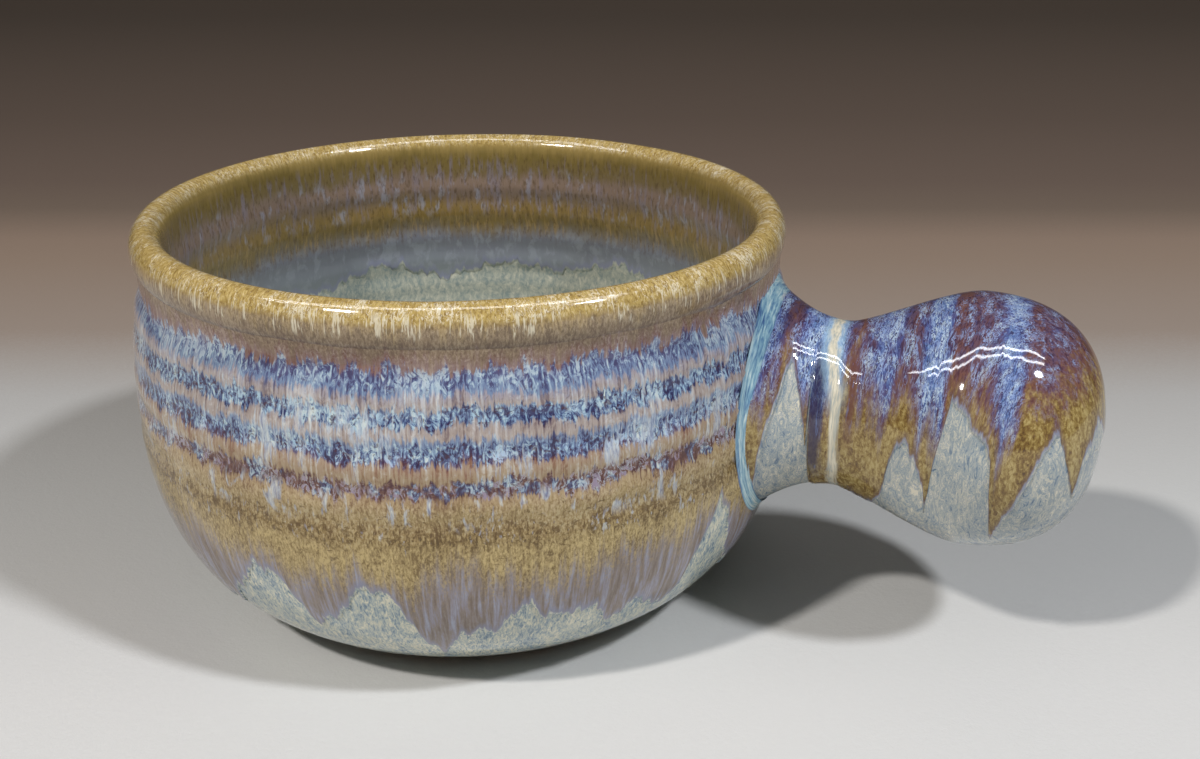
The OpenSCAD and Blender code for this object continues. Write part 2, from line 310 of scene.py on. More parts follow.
@dataclass(frozen=True)
class Wheel:
    """A Geometry Nodes tree that turns an outline on the wheel, with grooves and a hand's wobble."""

    groove_depth: float = 0.0
    groove_pitch: float = 6.5
    groove_low: float = 41.5
    neck: float = 69.8
    wobble: float = 0.12
    wobble_size: float = 28.0
    seed: float = 4.0
    tilt: tuple = (0.0, 0.0, 0.0)
    centre: tuple = (0.0, 0.0, 0.0)
    # Stations that meet on the axis are merged within this distance
    merge: float = 0.004

    def sizes(self) -> dict[str, float]:
        """The numbers that the tree takes by name, lengths in metres."""
        return {"Groove depth": self.groove_depth * MM, "Groove pitch": self.groove_pitch * MM,
                "Lowest groove": self.groove_low * MM, "Neck height": self.neck * MM,
                "Wobble": self.wobble * MM, "Wobble size": self.wobble_size * MM, "Seed": self.seed}

    def tree(self) -> tuple[bpy.types.NodeTree, dict[str, str]]:
        """Builds the tree.

        Returns:
            The tree and the identifier of each named input.
        """
        tree = bpy.data.node_groups.new("turned_on_the_wheel", "GeometryNodeTree")
        face, ids = tree.interface, {}
        kinds = {"Coat": "Geometry", **dict.fromkeys(self.sizes(), "Float"),
                 "Tilt": "Vector", "Centre": "Vector", "Finish": "Material"}
        for name, kind in kinds.items():
            ids[name] = face.new_socket(name=name, in_out="INPUT", socket_type="NodeSocket" + kind).identifier
        face.new_socket(name="Coat", in_out="OUTPUT", socket_type="NodeSocketGeometry")
        bench = Bench(tree)
        start = tree.nodes.new("NodeGroupInput").outputs
        outline, facing, lift, turn = [bench.add("held", key, data_type=kind) for key, kind in (
            ("outline", "FLOAT_VECTOR"), ("facing", "FLOAT_VECTOR"), ("lift", "FLOAT"), ("turn", "FLOAT"))]
        # Throwing rings: a ripple that fades in below the lowest groove and out at the neck
        height, pitch = bench.add("parts", outline, out=2), start["Groove pitch"]
        rings = bench.add("ratio", bench.add("minus", height, start["Lowest groove"]), pitch)
        left = bench.add("ratio", bench.add("minus", start["Neck height"], height), pitch)
        ripple = bench.add("plus", bench.add("cosine", bench.add("times", rings, TURN)), 1.0)
        depth = bench.add("times", bench.add("times", start["Groove depth"], -0.5), ripple)
        depth = bench.add("times", depth, bench.add("times", bench.add("step", rings, -1.0, 0.0),
                                                    bench.add("step", left, -0.5, 0.5)))
        place = bench.add("shift", outline, bench.add("grow", facing, lift))
        place = bench.add("turned", bench.add("shift", place, bench.add("whole", depth, 0.0, 0.0)), turn)
        # The hand's wobble, along the outward direction
        scale = bench.add("ratio", 1.0, start["Wobble size"])
        noise = bench.add("seeded", place, start["Seed"], scale, *WOBBLE_NOISE)
        swing = bench.add("times", bench.add("minus", noise, 0.5), bench.add("times", start["Wobble"], 2.0))
        place = bench.add("shift", place, bench.add("grow", bench.add("turned", facing, turn), swing))
        stood = bench.add("stood", bench.add("moved", start["Coat"], place), start["Centre"], start["Tilt"])
        smooth = bench.add("smoothed", bench.add("merged", stood, self.merge * MM))
        dressed = bench.add("dressed", bench.add("real", smooth), start["Finish"])
        tree.links.new(dressed, tree.nodes.new("NodeGroupOutput").inputs[0])
        return tree, ids

    def throw(self, name: str, coat: "Coat", finish: bpy.types.Material) -> bpy.types.Object:
        """Runs the tree on a coat and keeps the result as a plain mesh.

        Args:
            name: Name of the new piece.
            coat: The grid of stations to turn.
            finish: The material that the tree sets.

        Returns:
            The piece, at the origin, with no modifier.
        """
        tree, ids = self.tree()
        rough = hung(name + "_rough", coat.mesh(name + "_rough"))
        modifier = rough.modifiers.new("wheel", "NODES")
        modifier.node_group = tree
        centre = [c * MM for c in self.centre]
        values = {**self.sizes(), "Tilt": self.tilt, "Centre": centre, "Finish": finish}
        for key, value in values.items():
            modifier[ids[key]] = value
        mesh = plain_mesh(rough)
        mesh.name = name
        bpy.data.objects.remove(rough)
        return closed_outwards(hung(name, mesh))


def closed_outwards(piece: bpy.types.Object) -> bpy.types.Object:
    """Closes open ends, and turns the faces outwards if the solid is inside out.

    Args:
        piece: The piece to look over.

    Returns:
        The same piece.
    """
    work = bmesh.new()
    work.from_mesh(piece.data)
    open_edges = [e for e in work.edges if e.is_boundary]
    if open_edges:
        bmesh.ops.holes_fill(work, edges=open_edges, sides=0)
    if work.calc_volume(signed=True) < 0:
        bmesh.ops.reverse_faces(work, faces=work.faces)
    for f in work.faces:
        f.smooth = True
    for e in work.edges:
        e.smooth = not e.is_manifold or e.calc_face_angle() < SHARP
    work.to_mesh(piece.data)
    work.free()
    return piece


# What the wheel's tree reads from the points of a coat
STATION_KEYS = ("outline", "facing", "lift", "turn", "along")


@dataclass
class Coat:
    """A grid of stations: where each point lies along the outline, how far out, and at which turn."""

    outline: Outline
    along: np.ndarray
    lift: np.ndarray
    turn: np.ndarray
    ring: bool = True

    def mesh(self, name: str) -> bpy.types.Mesh:
        """Makes the grid as a mesh whose attributes the wheel's tree reads.

        Args:
            name: Name of the mesh.

        Returns:
            The mesh, with its rows joined into loops and its columns too where it is a ring.
        """
        place, face = [np.stack([v[..., 0], np.zeros_like(v[..., 0]), v[..., 1]], -1).reshape(-1, 3)
                       for v in self.outline.at(self.along)]
        mesh = bpy.data.meshes.new(name)
        mesh.from_pydata((place * MM).tolist(), [], grid_faces(*self.along.shape, self.ring))
        for key, values in zip(STATION_KEYS, (place * MM, face, self.lift * MM, self.turn, self.along)):
            store(mesh, key, values)
        return mesh


def store(mesh: bpy.types.Mesh, key: str, values: np.ndarray) -> None:
    """Stores one attribute on a mesh's points.

    Args:
        mesh: The mesh.
        key: Name of the attribute.
        values: One number for each point, or rows of three.
    """
    points = len(mesh.vertices)
    kind, slot = ("FLOAT_VECTOR", "vector") if values.size == 3 * points else ("FLOAT", "value")
    made = mesh.attributes.new(key, kind, "POINT")
    made.data.foreach_set(slot, np.asarray(values, np.float32).ravel())


def read(piece: bpy.types.Object, key: str) -> np.ndarray:
    """Reads a single-value attribute of a piece's points.

    Args:
        piece: The piece.
        key: Name of the attribute.

    Returns:
        One number for each point.
    """
    values = np.zeros(len(piece.data.vertices), np.float32)
    piece.data.attributes[key].data.foreach_get("value", values)
    return values.astype(float)


def places(piece: bpy.types.Object) -> np.ndarray:
    """Reads the points of a piece.

    Args:
        piece: The piece.

    Returns:
        Rows of x, y and z in millimetres.
    """
    values = np.zeros(len(piece.data.vertices) * 3, np.float32)
    piece.data.vertices.foreach_get("co", values)
    return values.reshape(-1, 3).astype(float) / MM


def note(piece: bpy.types.Object, **values: np.ndarray) -> None:
    """Stores what the finishes read on a piece's points, and drops what only the wheel needed.

    Args:
        piece: The piece.
        values: An array for each attribute, one number or three for each point.
    """
    attributes = piece.data.attributes
    for key in STATION_KEYS:
        if key in attributes:
            attributes.remove(attributes[key])
    for key, numbers in values.items():
        store(piece.data, key, numbers)


def settle(piece: bpy.types.Object, slot: str, *nodes: str) -> bpy.types.Object:
    """Lets a piece ride with the bowl, hides the CAD nodes that it stands for and logs them.

    Args:
        piece: The finished piece.
        slot: Not used.
        nodes: CAD nodes that it replaces.

    Returns:
        The same piece.
    """
    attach(piece, "root")
    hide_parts(*nodes)
    LOG.info("%s: %d faces, stands for %s", piece.name, len(piece.data.polygons), ", ".join(nodes))
    return piece


class Region(Enum):
    """Which stretch of the glazed surface a finish is for."""

    OUTSIDE = "outside"
    LIP = "lip"
    INSIDE = "inside"


# The finishes

# How far one seed shifts a pattern along each axis, so that no two patterns coincide
SEED_STEP = (7.3, -3.1, 1.7)
GLASS_IOR = 1.52


@dataclass(frozen=True)
class Pattern:
    """Size of one drawn-out pattern in millimetres, and how it is broken up."""

    across: float
    along: float
    detail: float = 3.0
    roughness: float = 0.55
    twist: float = 0.0
    seed: float = 1.0


@dataclass(frozen=True)
class Fleck:
    """Specks of one colour between two heights, where a pattern passes from its low to its high level."""

    size: Pattern
    levels: tuple[float, float]
    band: tuple[float, float]
    soft: float
    hue: str
    most: float


class GlazeBench(Bench):
    """A material under construction whose patterns follow the way the glaze ran."""

    def __init__(self, name: str) -> None:
        """Starts a node material.

        Args:
            name: Name of the material.
        """
        self.material = bpy.data.materials.new(name)
        self.material.use_nodes = True
        super().__init__(self.material.node_tree)
        self.tree.nodes.clear()
        self.flow = self.add("on_piece", attribute_name="flow", out="Vector")
        self.drawn: dict[Pattern, Socket] = {}

    def spot(self) -> Socket:
        """The place on the piece in millimetres, in Object coordinates."""
        return self.add("grow", self.add("place"), 1 / MM)

    def pattern(self, size: Pattern) -> Socket:
        """Draws a pattern along the flow, once for each size.

        Args:
            size: The pattern.

        Returns:
            A value from about 0 to 1.
        """
        if size not in self.drawn:
            scale = (1 / size.across, 1 / size.across, 1 / size.along)
            at = self.add("placed", self.flow, scale, tuple(step * size.seed for step in SEED_STEP))
            self.drawn[size] = self.add("noise", at, 1.0, size.detail, size.roughness, size.twist)
        return self.drawn[size]

    def swing(self, size: Pattern, amount: float) -> Socket:
        """A pattern as a shift to both sides of nothing."""
        return self.add("times", self.add("minus", self.pattern(size), 0.5), amount)

    def total(self, *values: Amount) -> Socket:
        """The sum of several values."""
        return reduce(partial(self.add, "plus"), values)

    def share_of(self, *values: Amount) -> Socket:
        """The product of several values."""
        return reduce(partial(self.add, "times"), values)

    def mask(self, size: Pattern, low: float, high: float) -> Socket:
        """Where a pattern passes from low to high, as 0 to 1."""
        return self.add("step", self.pattern(size), low, high)

    def between(self, value: Socket, low: float, high: float, soft: float) -> Socket:
        """1 between two limits of a value and 0 beyond them."""
        rise, fall = (low - soft, low + soft), (high + soft, high - soft)
        return self.add("times", self.add("step", value, *rise), self.add("step", value, *fall))

    def paint(self, colour: Socket, amount: Socket, hue: str | Socket, most: float = 1.0) -> Socket:
        """Lays one colour over another.

        Args:
            colour: What lies below.
            amount: How much of the new colour covers it.
            hue: The new colour, as sRGB hex or a socket.
            most: How far the new colour covers at most.

        Returns:
            The colour socket.
        """
        if most < 1:
            amount = self.add("times", amount, most)
        return self.add("lay", amount, colour, linear(hue) if isinstance(hue, str) else hue)

    def fleck(self, colour: Socket, height: Socket, fleck: Fleck) -> Socket:
        """Paints one kind of specks.

        Args:
            colour: What lies below.
            height: The height in millimetres.
            fleck: The specks.

        Returns:
            The colour socket.
        """
        spots, band = self.mask(fleck.size, *fleck.levels), self.between(height, *fleck.band, fleck.soft)
        return self.paint(colour, self.share_of(spots, band), fleck.hue, fleck.most)

    def dress(self, colour: Socket, roughness: float,
              relief: Sequence[tuple[Socket, float]]) -> bpy.types.Material:
        """Ends the material with a glassy surface.

        Args:
            colour: The surface colour.
            roughness: Roughness of the fired face.
            relief: Pairs of a height socket and its depth in millimetres.

        Returns:
            The finished material.
        """
        normal = None
        for height, depth in relief:
            normal = self.add("bump", 1.0, depth * MM, height, normal)
        glass = self.add("glass", colour, roughness, GLASS_IOR, normal)
        self.tree.links.new(glass, self.tree.nodes.new("ShaderNodeOutputMaterial").inputs["Surface"])
        return self.material


@dataclass(frozen=True)
class BareStoneware:
    """Bare fired stoneware: gritty, matt, warm buff with iron specks, which the eye sees on the foot ring."""

    body: str = "#a78a6b"
    dark: str = "#8a6e54"
    speck: str = "#4a3626"
    stain: Pattern = Pattern(9, 9, seed=2)
    specks: Pattern = Pattern(0.6, 0.6, 1.0, seed=5)
    grit: Pattern = Pattern(0.6, 0.6, 3.0, seed=8)
    grit_depth: float = 0.12
    roughness: float = 0.78

    def material(self, name: str) -> bpy.types.Material:
        """Builds the material.

        Args:
            name: Name of the material.

        Returns:
            The material, on Object coordinates.
        """
        bench = GlazeBench(name)
        bench.flow = bench.spot()
        colour = bench.add("lay", bench.mask(self.stain, 0.35, 0.7), linear(self.body), linear(self.dark))
        colour = bench.paint(colour, bench.mask(self.specks, 0.68, 0.72), self.speck)
        return bench.dress(colour, self.roughness, [(bench.pattern(self.grit), self.grit_depth)])


@dataclass(frozen=True)
class PaleBase:
    """Celadon base coat: pale grey-green glass over the clay, curdled into fine cream and blue-grey worms."""

    tones: Stops = ((0.3, "#657c90"), (0.41, "#91a2ac"), (0.5, "#b6bfba"), (0.57, "#d2d2be"),
                    (0.68, "#e8e4d0"))
    worm: Pattern = Pattern(0.5, 1.3, 4.0, 0.62, 0.9, 11)
    cloud: Pattern = Pattern(4, 6, 2.0, seed=12)
    # The floor, where the coat lay thick and stayed calm, and the lengths from the heel where it begins
    floor_tones: Stops = ((0.34, "#8c9a98"), (0.47, "#a4aba2"), (0.58, "#b9bcae"), (0.7, "#d0cebe"))
    floor_curd: Pattern = Pattern(1.1, 1.6, 5.0, 0.66, 0.5, 16)
    floor_cloud: Pattern = Pattern(7, 8, 2.0, seed=17)
    floor_from: tuple[float, float] = (96.0, 104.0)
    wave: Pattern = Pattern(5, 9, 1.0, seed=14)
    wave_depth: float = 0.12
    roughness: float = 0.1

    def colour(self, bench: GlazeBench) -> Socket:
        """The mottled base coat of the wall and the handle."""
        tone = bench.total(bench.pattern(self.worm), bench.swing(self.cloud, 0.3))
        return bench.add("tones", tone, stops=self.tones)

    def floor(self, bench: GlazeBench) -> Socket:
        """The calm base coat of the bowl's floor."""
        tone = bench.total(bench.pattern(self.floor_curd), bench.swing(self.floor_cloud, 0.2))
        return bench.add("tones", tone, stops=self.floor_tones)

    def material(self, name: str) -> bpy.types.Material:
        """Builds the base coat's own material.

        Args:
            name: Name of the material.

        Returns:
            The material.
        """
        bench = GlazeBench(name)
        inside = bench.add("step", bench.add("on_piece", attribute_name="along"), *self.floor_from)
        colour = bench.add("lay", inside, self.colour(bench), self.floor(bench))
        return bench.dress(colour, self.roughness, [(bench.pattern(self.wave), self.wave_depth)])


# Dark, middle and light tones of the glaze outside, by height in millimetres
DARK = (
    (36, "#7d6740"), (38.6, "#5a4626"), (40.6, "#6a5130"), (42.6, "#8e7850"), (46, "#84664a"),
    (46.8, "#52302c"), (49.2, "#5e4040"), (49.8, "#8f7456"), (52.4, "#8a5f4c"), (53, "#4c2432"),
    (55.0, "#302c5a"), (56.8, "#3c3a64"), (57.4, "#877672"), (59.2, "#806e70"), (59.7, "#36365e"),
    (62.6, "#40456c"), (63.1, "#857474"), (64.6, "#7a6e76"), (65.2, "#565f86"), (68.6, "#5a5678"),
    (69.4, "#7c5448"), (72, "#6e594a"), (75, "#776550"), (77.4, "#857150"),
)
MIDDLE = (
    (36, "#a79263"), (38.8, "#8f774a"), (40.8, "#99835a"), (43, "#ad976a"), (46, "#aa9270"),
    (46.9, "#6e4a3e"), (49.1, "#7c5c50"), (49.9, "#aa9678"), (52.4, "#a8917c"), (53.1, "#645a7c"),
    (54.8, "#667ba6"), (56.7, "#7f92b2"), (57.4, "#b0a39a"), (59.2, "#a89c98"), (59.8, "#6c84a8"),
    (62.5, "#7e95b4"), (63.1, "#b0a49c"), (64.7, "#a49ea8"), (65.3, "#7b8fae"), (68.5, "#767f9e"),
    (69.3, "#8a7270"), (72, "#85705a"), (75, "#938066"), (77.4, "#a6906a"),
)
LIGHT = (
    (36, "#c6b07c"), (38.8, "#b09c70"), (41, "#b6a680"), (43, "#c4b088"), (46, "#c0ac8a"),
    (46.9, "#93849a"), (49.2, "#a094a4"), (49.9, "#c4bcae"), (52.4, "#c8c4bc"), (53.1, "#b6c4e0"),
    (55.0, "#a8cae2"), (56.8, "#c2d2da"), (57.4, "#cbc6c2"), (59.3, "#c8c6c8"), (59.9, "#a6c8de"),
    (62.5, "#b8d2e0"), (63.1, "#ccc6c2"), (64.8, "#c0c4ce"), (65.4, "#adc4d2"), (68.6, "#a9b4c4"),
    (69.4, "#a8958c"), (72, "#96826c"), (75, "#a8967c"), (77.4, "#bca67c"),
)
# Tones of the inside by height in millimetres, from its lower edge to the lip
INSIDE_BANDS = (
    (40, "#8d9696"), (48, "#868d94"), (54, "#7c7f8a"), (57, "#7b7160"), (59.5, "#86713c"), (63, "#8d7648"),
    (66.5, "#8b7768"), (70, "#8f7b6c"), (72, "#82704a"), (75, "#82703e"), (78, "#9c8650"),
)
# Pale flecks, gold and violet streaks, olive grain and grey clouds of the inside
INSIDE_FLECKS = (
    Fleck(Pattern(2.2, 5, 3.0, seed=51), (0.54, 0.7), (61, 72), 2, "#a6abbc", 0.6),
    Fleck(Pattern(0.8, 5, 4.0, 0.62, 0.3, 56), (0.5, 0.66), (56, 62), 2, "#b0925a", 0.55),
    Fleck(Pattern(1.5, 8, 4.0, 0.62, 0.3, 57), (0.5, 0.66), (61, 75), 2, "#8d8798", 0.55),
    Fleck(Pattern(0.7, 2.0, 4.0, 0.65, 0.2, 52), (0.5, 0.66), (54, 76), 2, "#57452c", 0.55),
    Fleck(Pattern(2.6, 4, 3.0, 0.6, 0.4, 55), (0.48, 0.64), (42, 56), 3, "#9ba3ac", 0.5),
)
# Tones of the curls in the grooves, of milky drips, of the mauve foot of the run and of the honey lip
CURL_TONES = ((0.36, "#322a48"), (0.45, "#4e5b86"), (0.53, "#7d98b6"), (0.61, "#b2c9d2"), (0.7, "#e0e6dc"))
MILK_TONES = ((0.36, "#7f89a8"), (0.47, "#aab6ca"), (0.58, "#ccd4d8"), (0.7, "#e6e8de"))
MAUVE_TONES = ((0.34, "#7b6d62"), (0.46, "#8d8078"), (0.56, "#938e98"), (0.7, "#a4a9bc"))
HONEY_TONES = ((0.32, "#7d6334"), (0.44, "#a68c52"), (0.56, "#c0a768"), (0.68, "#d6c18c"))
# Height that the ramps by height reach, in millimetres
RAMP_TOP = 80


def by_height(tones: Stops) -> Stops:
    """Tones by height as the stops of a ramp."""
    return [(mm / RAMP_TOP, hue) for mm, hue in tones]


@dataclass(frozen=True)
class WallSigns:
    """What the layers of the outer wall's glaze go by."""

    # Height in millimetres, and the same after the glaze has wandered up and down
    height: Socket
    at: Socket
    # Where the grooves hold pooled glaze, and where the glaze lies calm under the lip and on the lower wall
    pool: Socket
    calm: Socket
    # Patterns as shifts to both sides of nothing
    patch: Socket
    curl: Socket
    streak: Socket
    grain: Socket


@dataclass(frozen=True)
class RunGlaze:
    """Second coat of the bowl: rutile blue over ochre, banded along the throwing rings, run into streaks."""

    base: PaleBase = PaleBase()
    lip_along: float = 100.0
    groove_pitch: float = 6.5
    groove_low: float = 41.5
    # Heights between which the grooves hold pooled glaze
    pooled: tuple[float, float] = (45.3, 69.4)
    # What makes the bands wander: threads, tongues, a slow sway, and fingers under the lip
    thread: Pattern = Pattern(0.5, 5, 3.0, 0.62, 0.3, 21)
    tongue: Pattern = Pattern(2.4, 5, 3.0, 0.6, 0.5, 28)
    sway: Pattern = Pattern(12, 60, 2.0, seed=22)
    finger: Pattern = Pattern(1.5, 14, 3.0, 0.6, 0.3, 30)
    # What the bands' tones are made of
    patch: Pattern = Pattern(9, 12, 2.0, seed=23)
    curl: Pattern = Pattern(1.2, 2.2, 4.0, 0.62, 1.7, 25)
    streak: Pattern = Pattern(0.55, 9, 4.0, 0.62, 0.35, 24)
    grain: Pattern = Pattern(0.4, 0.9, 4.0, 0.7, 0.4, 34)
    # What lies on the bands
    clump: Pattern = Pattern(4, 5, 3.0, 0.6, 0.6, 29)
    iron: Pattern = Pattern(1.8, 1.5, 3.0, 0.6, 1.2, 26)
    run: Pattern = Pattern(0.7, 7, 4.0, 0.6, 0.7, 27)
    milk_cloud: Pattern = Pattern(0.6, 2.6, 4.0, 0.6, 1.0, 45)
    # The lower wall
    blotch: Pattern = Pattern(1.5, 1.3, 4.0, 0.65, 0.6, 35)
    drip_thread: Pattern = Pattern(0.5, 5, 3.0, 0.6, 0.3, 44)
    drip_patch: Pattern = Pattern(9, 14, 1.0, seed=42)
    reach: Pattern = Pattern(0.9, 50, 4.0, 0.62, seed=31)
    reach_sway: Pattern = Pattern(7, 70, 2.0, seed=37)
    mauve: Pattern = Pattern(0.9, 9, 4.0, 0.62, 0.4, 32)
    # The inside and the run's edges
    inner_thread: Pattern = Pattern(0.9, 9, 3.0, 0.6, seed=50)
    inner_sway: Pattern = Pattern(14, 60, 2.0, seed=54)
    outer_tooth: Pattern = Pattern(0.7, 6, 4.0, seed=41)
    inner_tooth: Pattern = Pattern(2.2, 9, 3.0, seed=53)
    tooth_depth: float = 4.0
    # The lip
    lip_sway: Pattern = Pattern(1.2, 9, 3.0, seed=61)
    honey: Pattern = Pattern(0.5, 0.8, 4.0, 0.68, 0.6, 62)
    cream: Pattern = Pattern(0.45, 0.9, 4.0, 0.7, 1.6, 63)
    cream_patch: Pattern = Pattern(4, 6, 2.0, seed=64)
    lip_drip: Pattern = Pattern(0.5, 4, 3.0, 0.6, 0.5, 65)
    lip_drip_patch: Pattern = Pattern(5, 12, 2.0, seed=66)
    # The surface: slow waves and a fine skin, with their depths
    wave: Pattern = Pattern(4, 9, 1.0, seed=71)
    skin: Pattern = Pattern(0.9, 3, 2.0, seed=72)
    wave_depth: float = 0.1
    skin_depth: float = 0.02
    roughness: float = 0.1

    def signs(self, bench: GlazeBench, height: Socket) -> WallSigns:
        """Works out what the layers of the outer wall go by.

        Args:
            bench: The material under construction.
            height: The height in millimetres.

        Returns:
            The signs.
        """
        finger = bench.share_of(bench.swing(self.finger, -7.0), bench.add("step", height, 65.5, 69.0))
        at = bench.total(height, bench.swing(self.thread, 4.6), bench.swing(self.tongue, 5.0),
                         bench.swing(self.sway, 3.0), finger)
        turns = bench.add("times", bench.add("minus", at, self.groove_low), TURN / self.groove_pitch)
        pool = bench.share_of(bench.add("step", bench.add("cosine", turns), -0.3, 0.6),
                              bench.between(at, *self.pooled, 0.8))
        calm = bench.total(bench.add("step", height, 47.5, 44.5), bench.add("step", height, 69.0, 71.5))
        swings = [bench.swing(size, 1.0) for size in (self.patch, self.curl, self.streak, self.grain)]
        return WallSigns(height, at, pool, calm, *swings)

    def outside(self, bench: GlazeBench, height: Socket) -> Socket:
        """Lays the bands, the curls in the grooves, the streaks that run out of them, and the lower wall.

        Args:
            bench: The material under construction.
            height: The height in millimetres.

        Returns:
            The colour socket.
        """
        signs = self.signs(bench, height)
        colour = self.pooled_curls(bench, self.bands(bench, signs), signs)
        # Cream streaks that run down over the ridges
        run = bench.total(bench.swing(self.run, 1.0), bench.add("times", signs.patch, 0.9))
        run = bench.share_of(bench.add("step", run, 0.05, 0.22), bench.between(signs.at, 49.5, 68, 1.8))
        colour = bench.paint(colour, run, self.milk(bench), 0.8)
        colour = self.lower_wall(bench, colour, signs)
        return self.edged(bench, colour, self.outer_tooth, self.base.colour(bench))

    def bands(self, bench: GlazeBench, signs: WallSigns) -> Socket:
        """Lays the bands, each from dark to light by streaks, curls and grain.

        Args:
            bench: The material under construction.
            signs: What the layers go by.

        Returns:
            The colour socket.
        """
        share = bench.add("times", signs.at, 1 / RAMP_TOP)
        dark, middle, light = [bench.add("tones", share, stops=by_height(tones))
                               for tones in (DARK, MIDDLE, LIGHT)]
        streaky = bench.total(0.9, bench.add("times", signs.pool, -0.3), bench.add("times", signs.calm, -0.6))
        tone = bench.total(bench.share_of(signs.streak, streaky),
                           bench.share_of(signs.curl, bench.total(0.4, signs.pool), 1.3),
                           bench.share_of(signs.grain, signs.calm, 1.5), bench.add("times", signs.patch, 0.4))
        colour = bench.add("lay", bench.add("step", tone, 0.0, -0.2), middle, dark)
        return bench.add("lay", bench.add("step", tone, 0.0, 0.2), colour, light)

    def pooled_curls(self, bench: GlazeBench, colour: Socket, signs: WallSigns) -> Socket:
        """Lays what pooled in the grooves: clumps of blue curls, iron-red islands and light outlines.

        Args:
            bench: The material under construction.
            colour: What lies below.
            signs: What the layers go by.

        Returns:
            The colour socket.
        """
        pool, patch, curl = signs.pool, signs.patch, signs.curl
        # The clumps lie closer together above the lowest groove, and thin out under the lip
        close = bench.add("times", bench.add("step", signs.at, 49.5, 53.0), 0.06)
        thin = bench.total(0.45, bench.add("times", bench.add("step", signs.at, 66.0, 63.5), 0.55))
        clump = bench.add("step", bench.total(bench.pattern(self.clump), close), 0.5, 0.57)
        tone = bench.total(0.5, curl, bench.add("times", signs.streak, 0.35), bench.add("times", patch, 0.35))
        curls = bench.add("tones", tone, stops=CURL_TONES)
        colour = bench.paint(colour, bench.share_of(clump, pool, thin), curls, 0.8)
        iron, band = bench.mask(self.iron, 0.55, 0.62), bench.between(signs.height, 46, 66, 1.5)
        colour = bench.paint(colour, bench.share_of(iron, pool, band), "#4a2430", 0.7)
        rim = bench.add("step", bench.add("size", bench.add("minus", curl, 0.035)), 0.022, 0.006)
        rim = bench.share_of(rim, pool, bench.add("step", patch, -0.1, 0.1))
        return bench.paint(colour, rim, "#cfe0e6", 0.6)

    def milk(self, bench: GlazeBench) -> Socket:
        """The milky blue to cream of drips that ran over the bands."""
        return bench.add("tones", bench.pattern(self.milk_cloud), stops=MILK_TONES)

    def lower_wall(self, bench: GlazeBench, colour: Socket, signs: WallSigns) -> Socket:
        """Lays the olive blotches, the lavender drips and the mauve tongues of the lower wall.

        Args:
            bench: The material under construction.
            colour: What lies below.
            signs: What the layers go by.

        Returns:
            The colour socket.
        """
        height, grain = signs.height, signs.grain
        thick = bench.add("times", bench.between(height, 38.2, 41.2, 2.0), 0.1)
        blotch = bench.total(bench.pattern(self.blotch), thick)
        blotch = bench.share_of(bench.add("step", blotch, 0.58, 0.68), bench.between(height, 33, 46, 2.0))
        colour = bench.paint(colour, blotch, "#5f4824", 0.75)
        milk = self.milk(bench)
        for size, low, band, most in ((Pattern(2.6, 6.5, 4.0, 0.6, 0.6, 40), 0.55, (41.0, 47.6), 0.75),
                                      (Pattern(1.2, 2.6, 3.0, 0.6, 0.8, 43), 0.6, (36.5, 42.5), 0.6)):
            drip = bench.total(bench.pattern(size), bench.swing(self.drip_thread, 0.3),
                               bench.swing(self.drip_patch, 0.25))
            drip = bench.share_of(bench.add("step", drip, low, low + 0.12), bench.between(height, *band, 1.5))
            colour = bench.paint(colour, drip, milk, most)
        reach = bench.total(height, bench.swing(self.reach, 14.0), bench.swing(self.reach_sway, 18.0))
        tone = bench.total(bench.pattern(self.mauve), bench.add("times", grain, 0.25))
        gold = bench.share_of(bench.add("step", grain, 0.02, 0.12), bench.add("step", reach, 20.0, 31.0))
        mauve = bench.paint(bench.add("tones", tone, stops=MAUVE_TONES), gold, "#a38a58", 0.7)
        return bench.add("lay", bench.add("step", reach, 34.5, 26.0), colour, mauve)

    def edged(self, bench: GlazeBench, colour: Socket, tooth: Pattern, below: Socket) -> Socket:
        """Ends a run: a lavender line where the coat thins, then the coat below.

        Args:
            bench: The material under construction.
            colour: What the run is made of.
            tooth: Pattern of the edge's finest teeth.
            below: Colour of the coat below.

        Returns:
            The colour socket.
        """
        edge = bench.total(bench.add("on_piece", attribute_name="edge"), bench.swing(tooth, self.tooth_depth))
        colour = bench.paint(colour, bench.add("step", edge, 3.0, 1.2), "#8b8fa8", 0.7)
        return bench.add("lay", bench.add("step", edge, 1.3, 0.3), colour, below)

    def inside(self, bench: GlazeBench, height: Socket) -> Socket:
        """Lays the bands and flecks of the inside.

        Args:
            bench: The material under construction.
            height: The height in millimetres.

        Returns:
            The colour socket.
        """
        at = bench.total(height, bench.swing(self.inner_thread, 5.0), bench.swing(self.inner_sway, 7.0))
        colour = bench.add("tones", bench.add("times", at, 1 / RAMP_TOP), stops=by_height(INSIDE_BANDS))
        for fleck in INSIDE_FLECKS:
            colour = bench.fleck(colour, height, fleck)
        return self.edged(bench, colour, self.inner_tooth, self.base.floor(bench))

    def lip(self, bench: GlazeBench, colour: Socket) -> Socket:
        """Lays the honey of the thin glaze over the lip, with its cream flecks and its drips outside.

        Args:
            bench: The material under construction.
            colour: What lies below.

        Returns:
            The colour socket.
        """
        along = bench.add("on_piece", attribute_name="along")
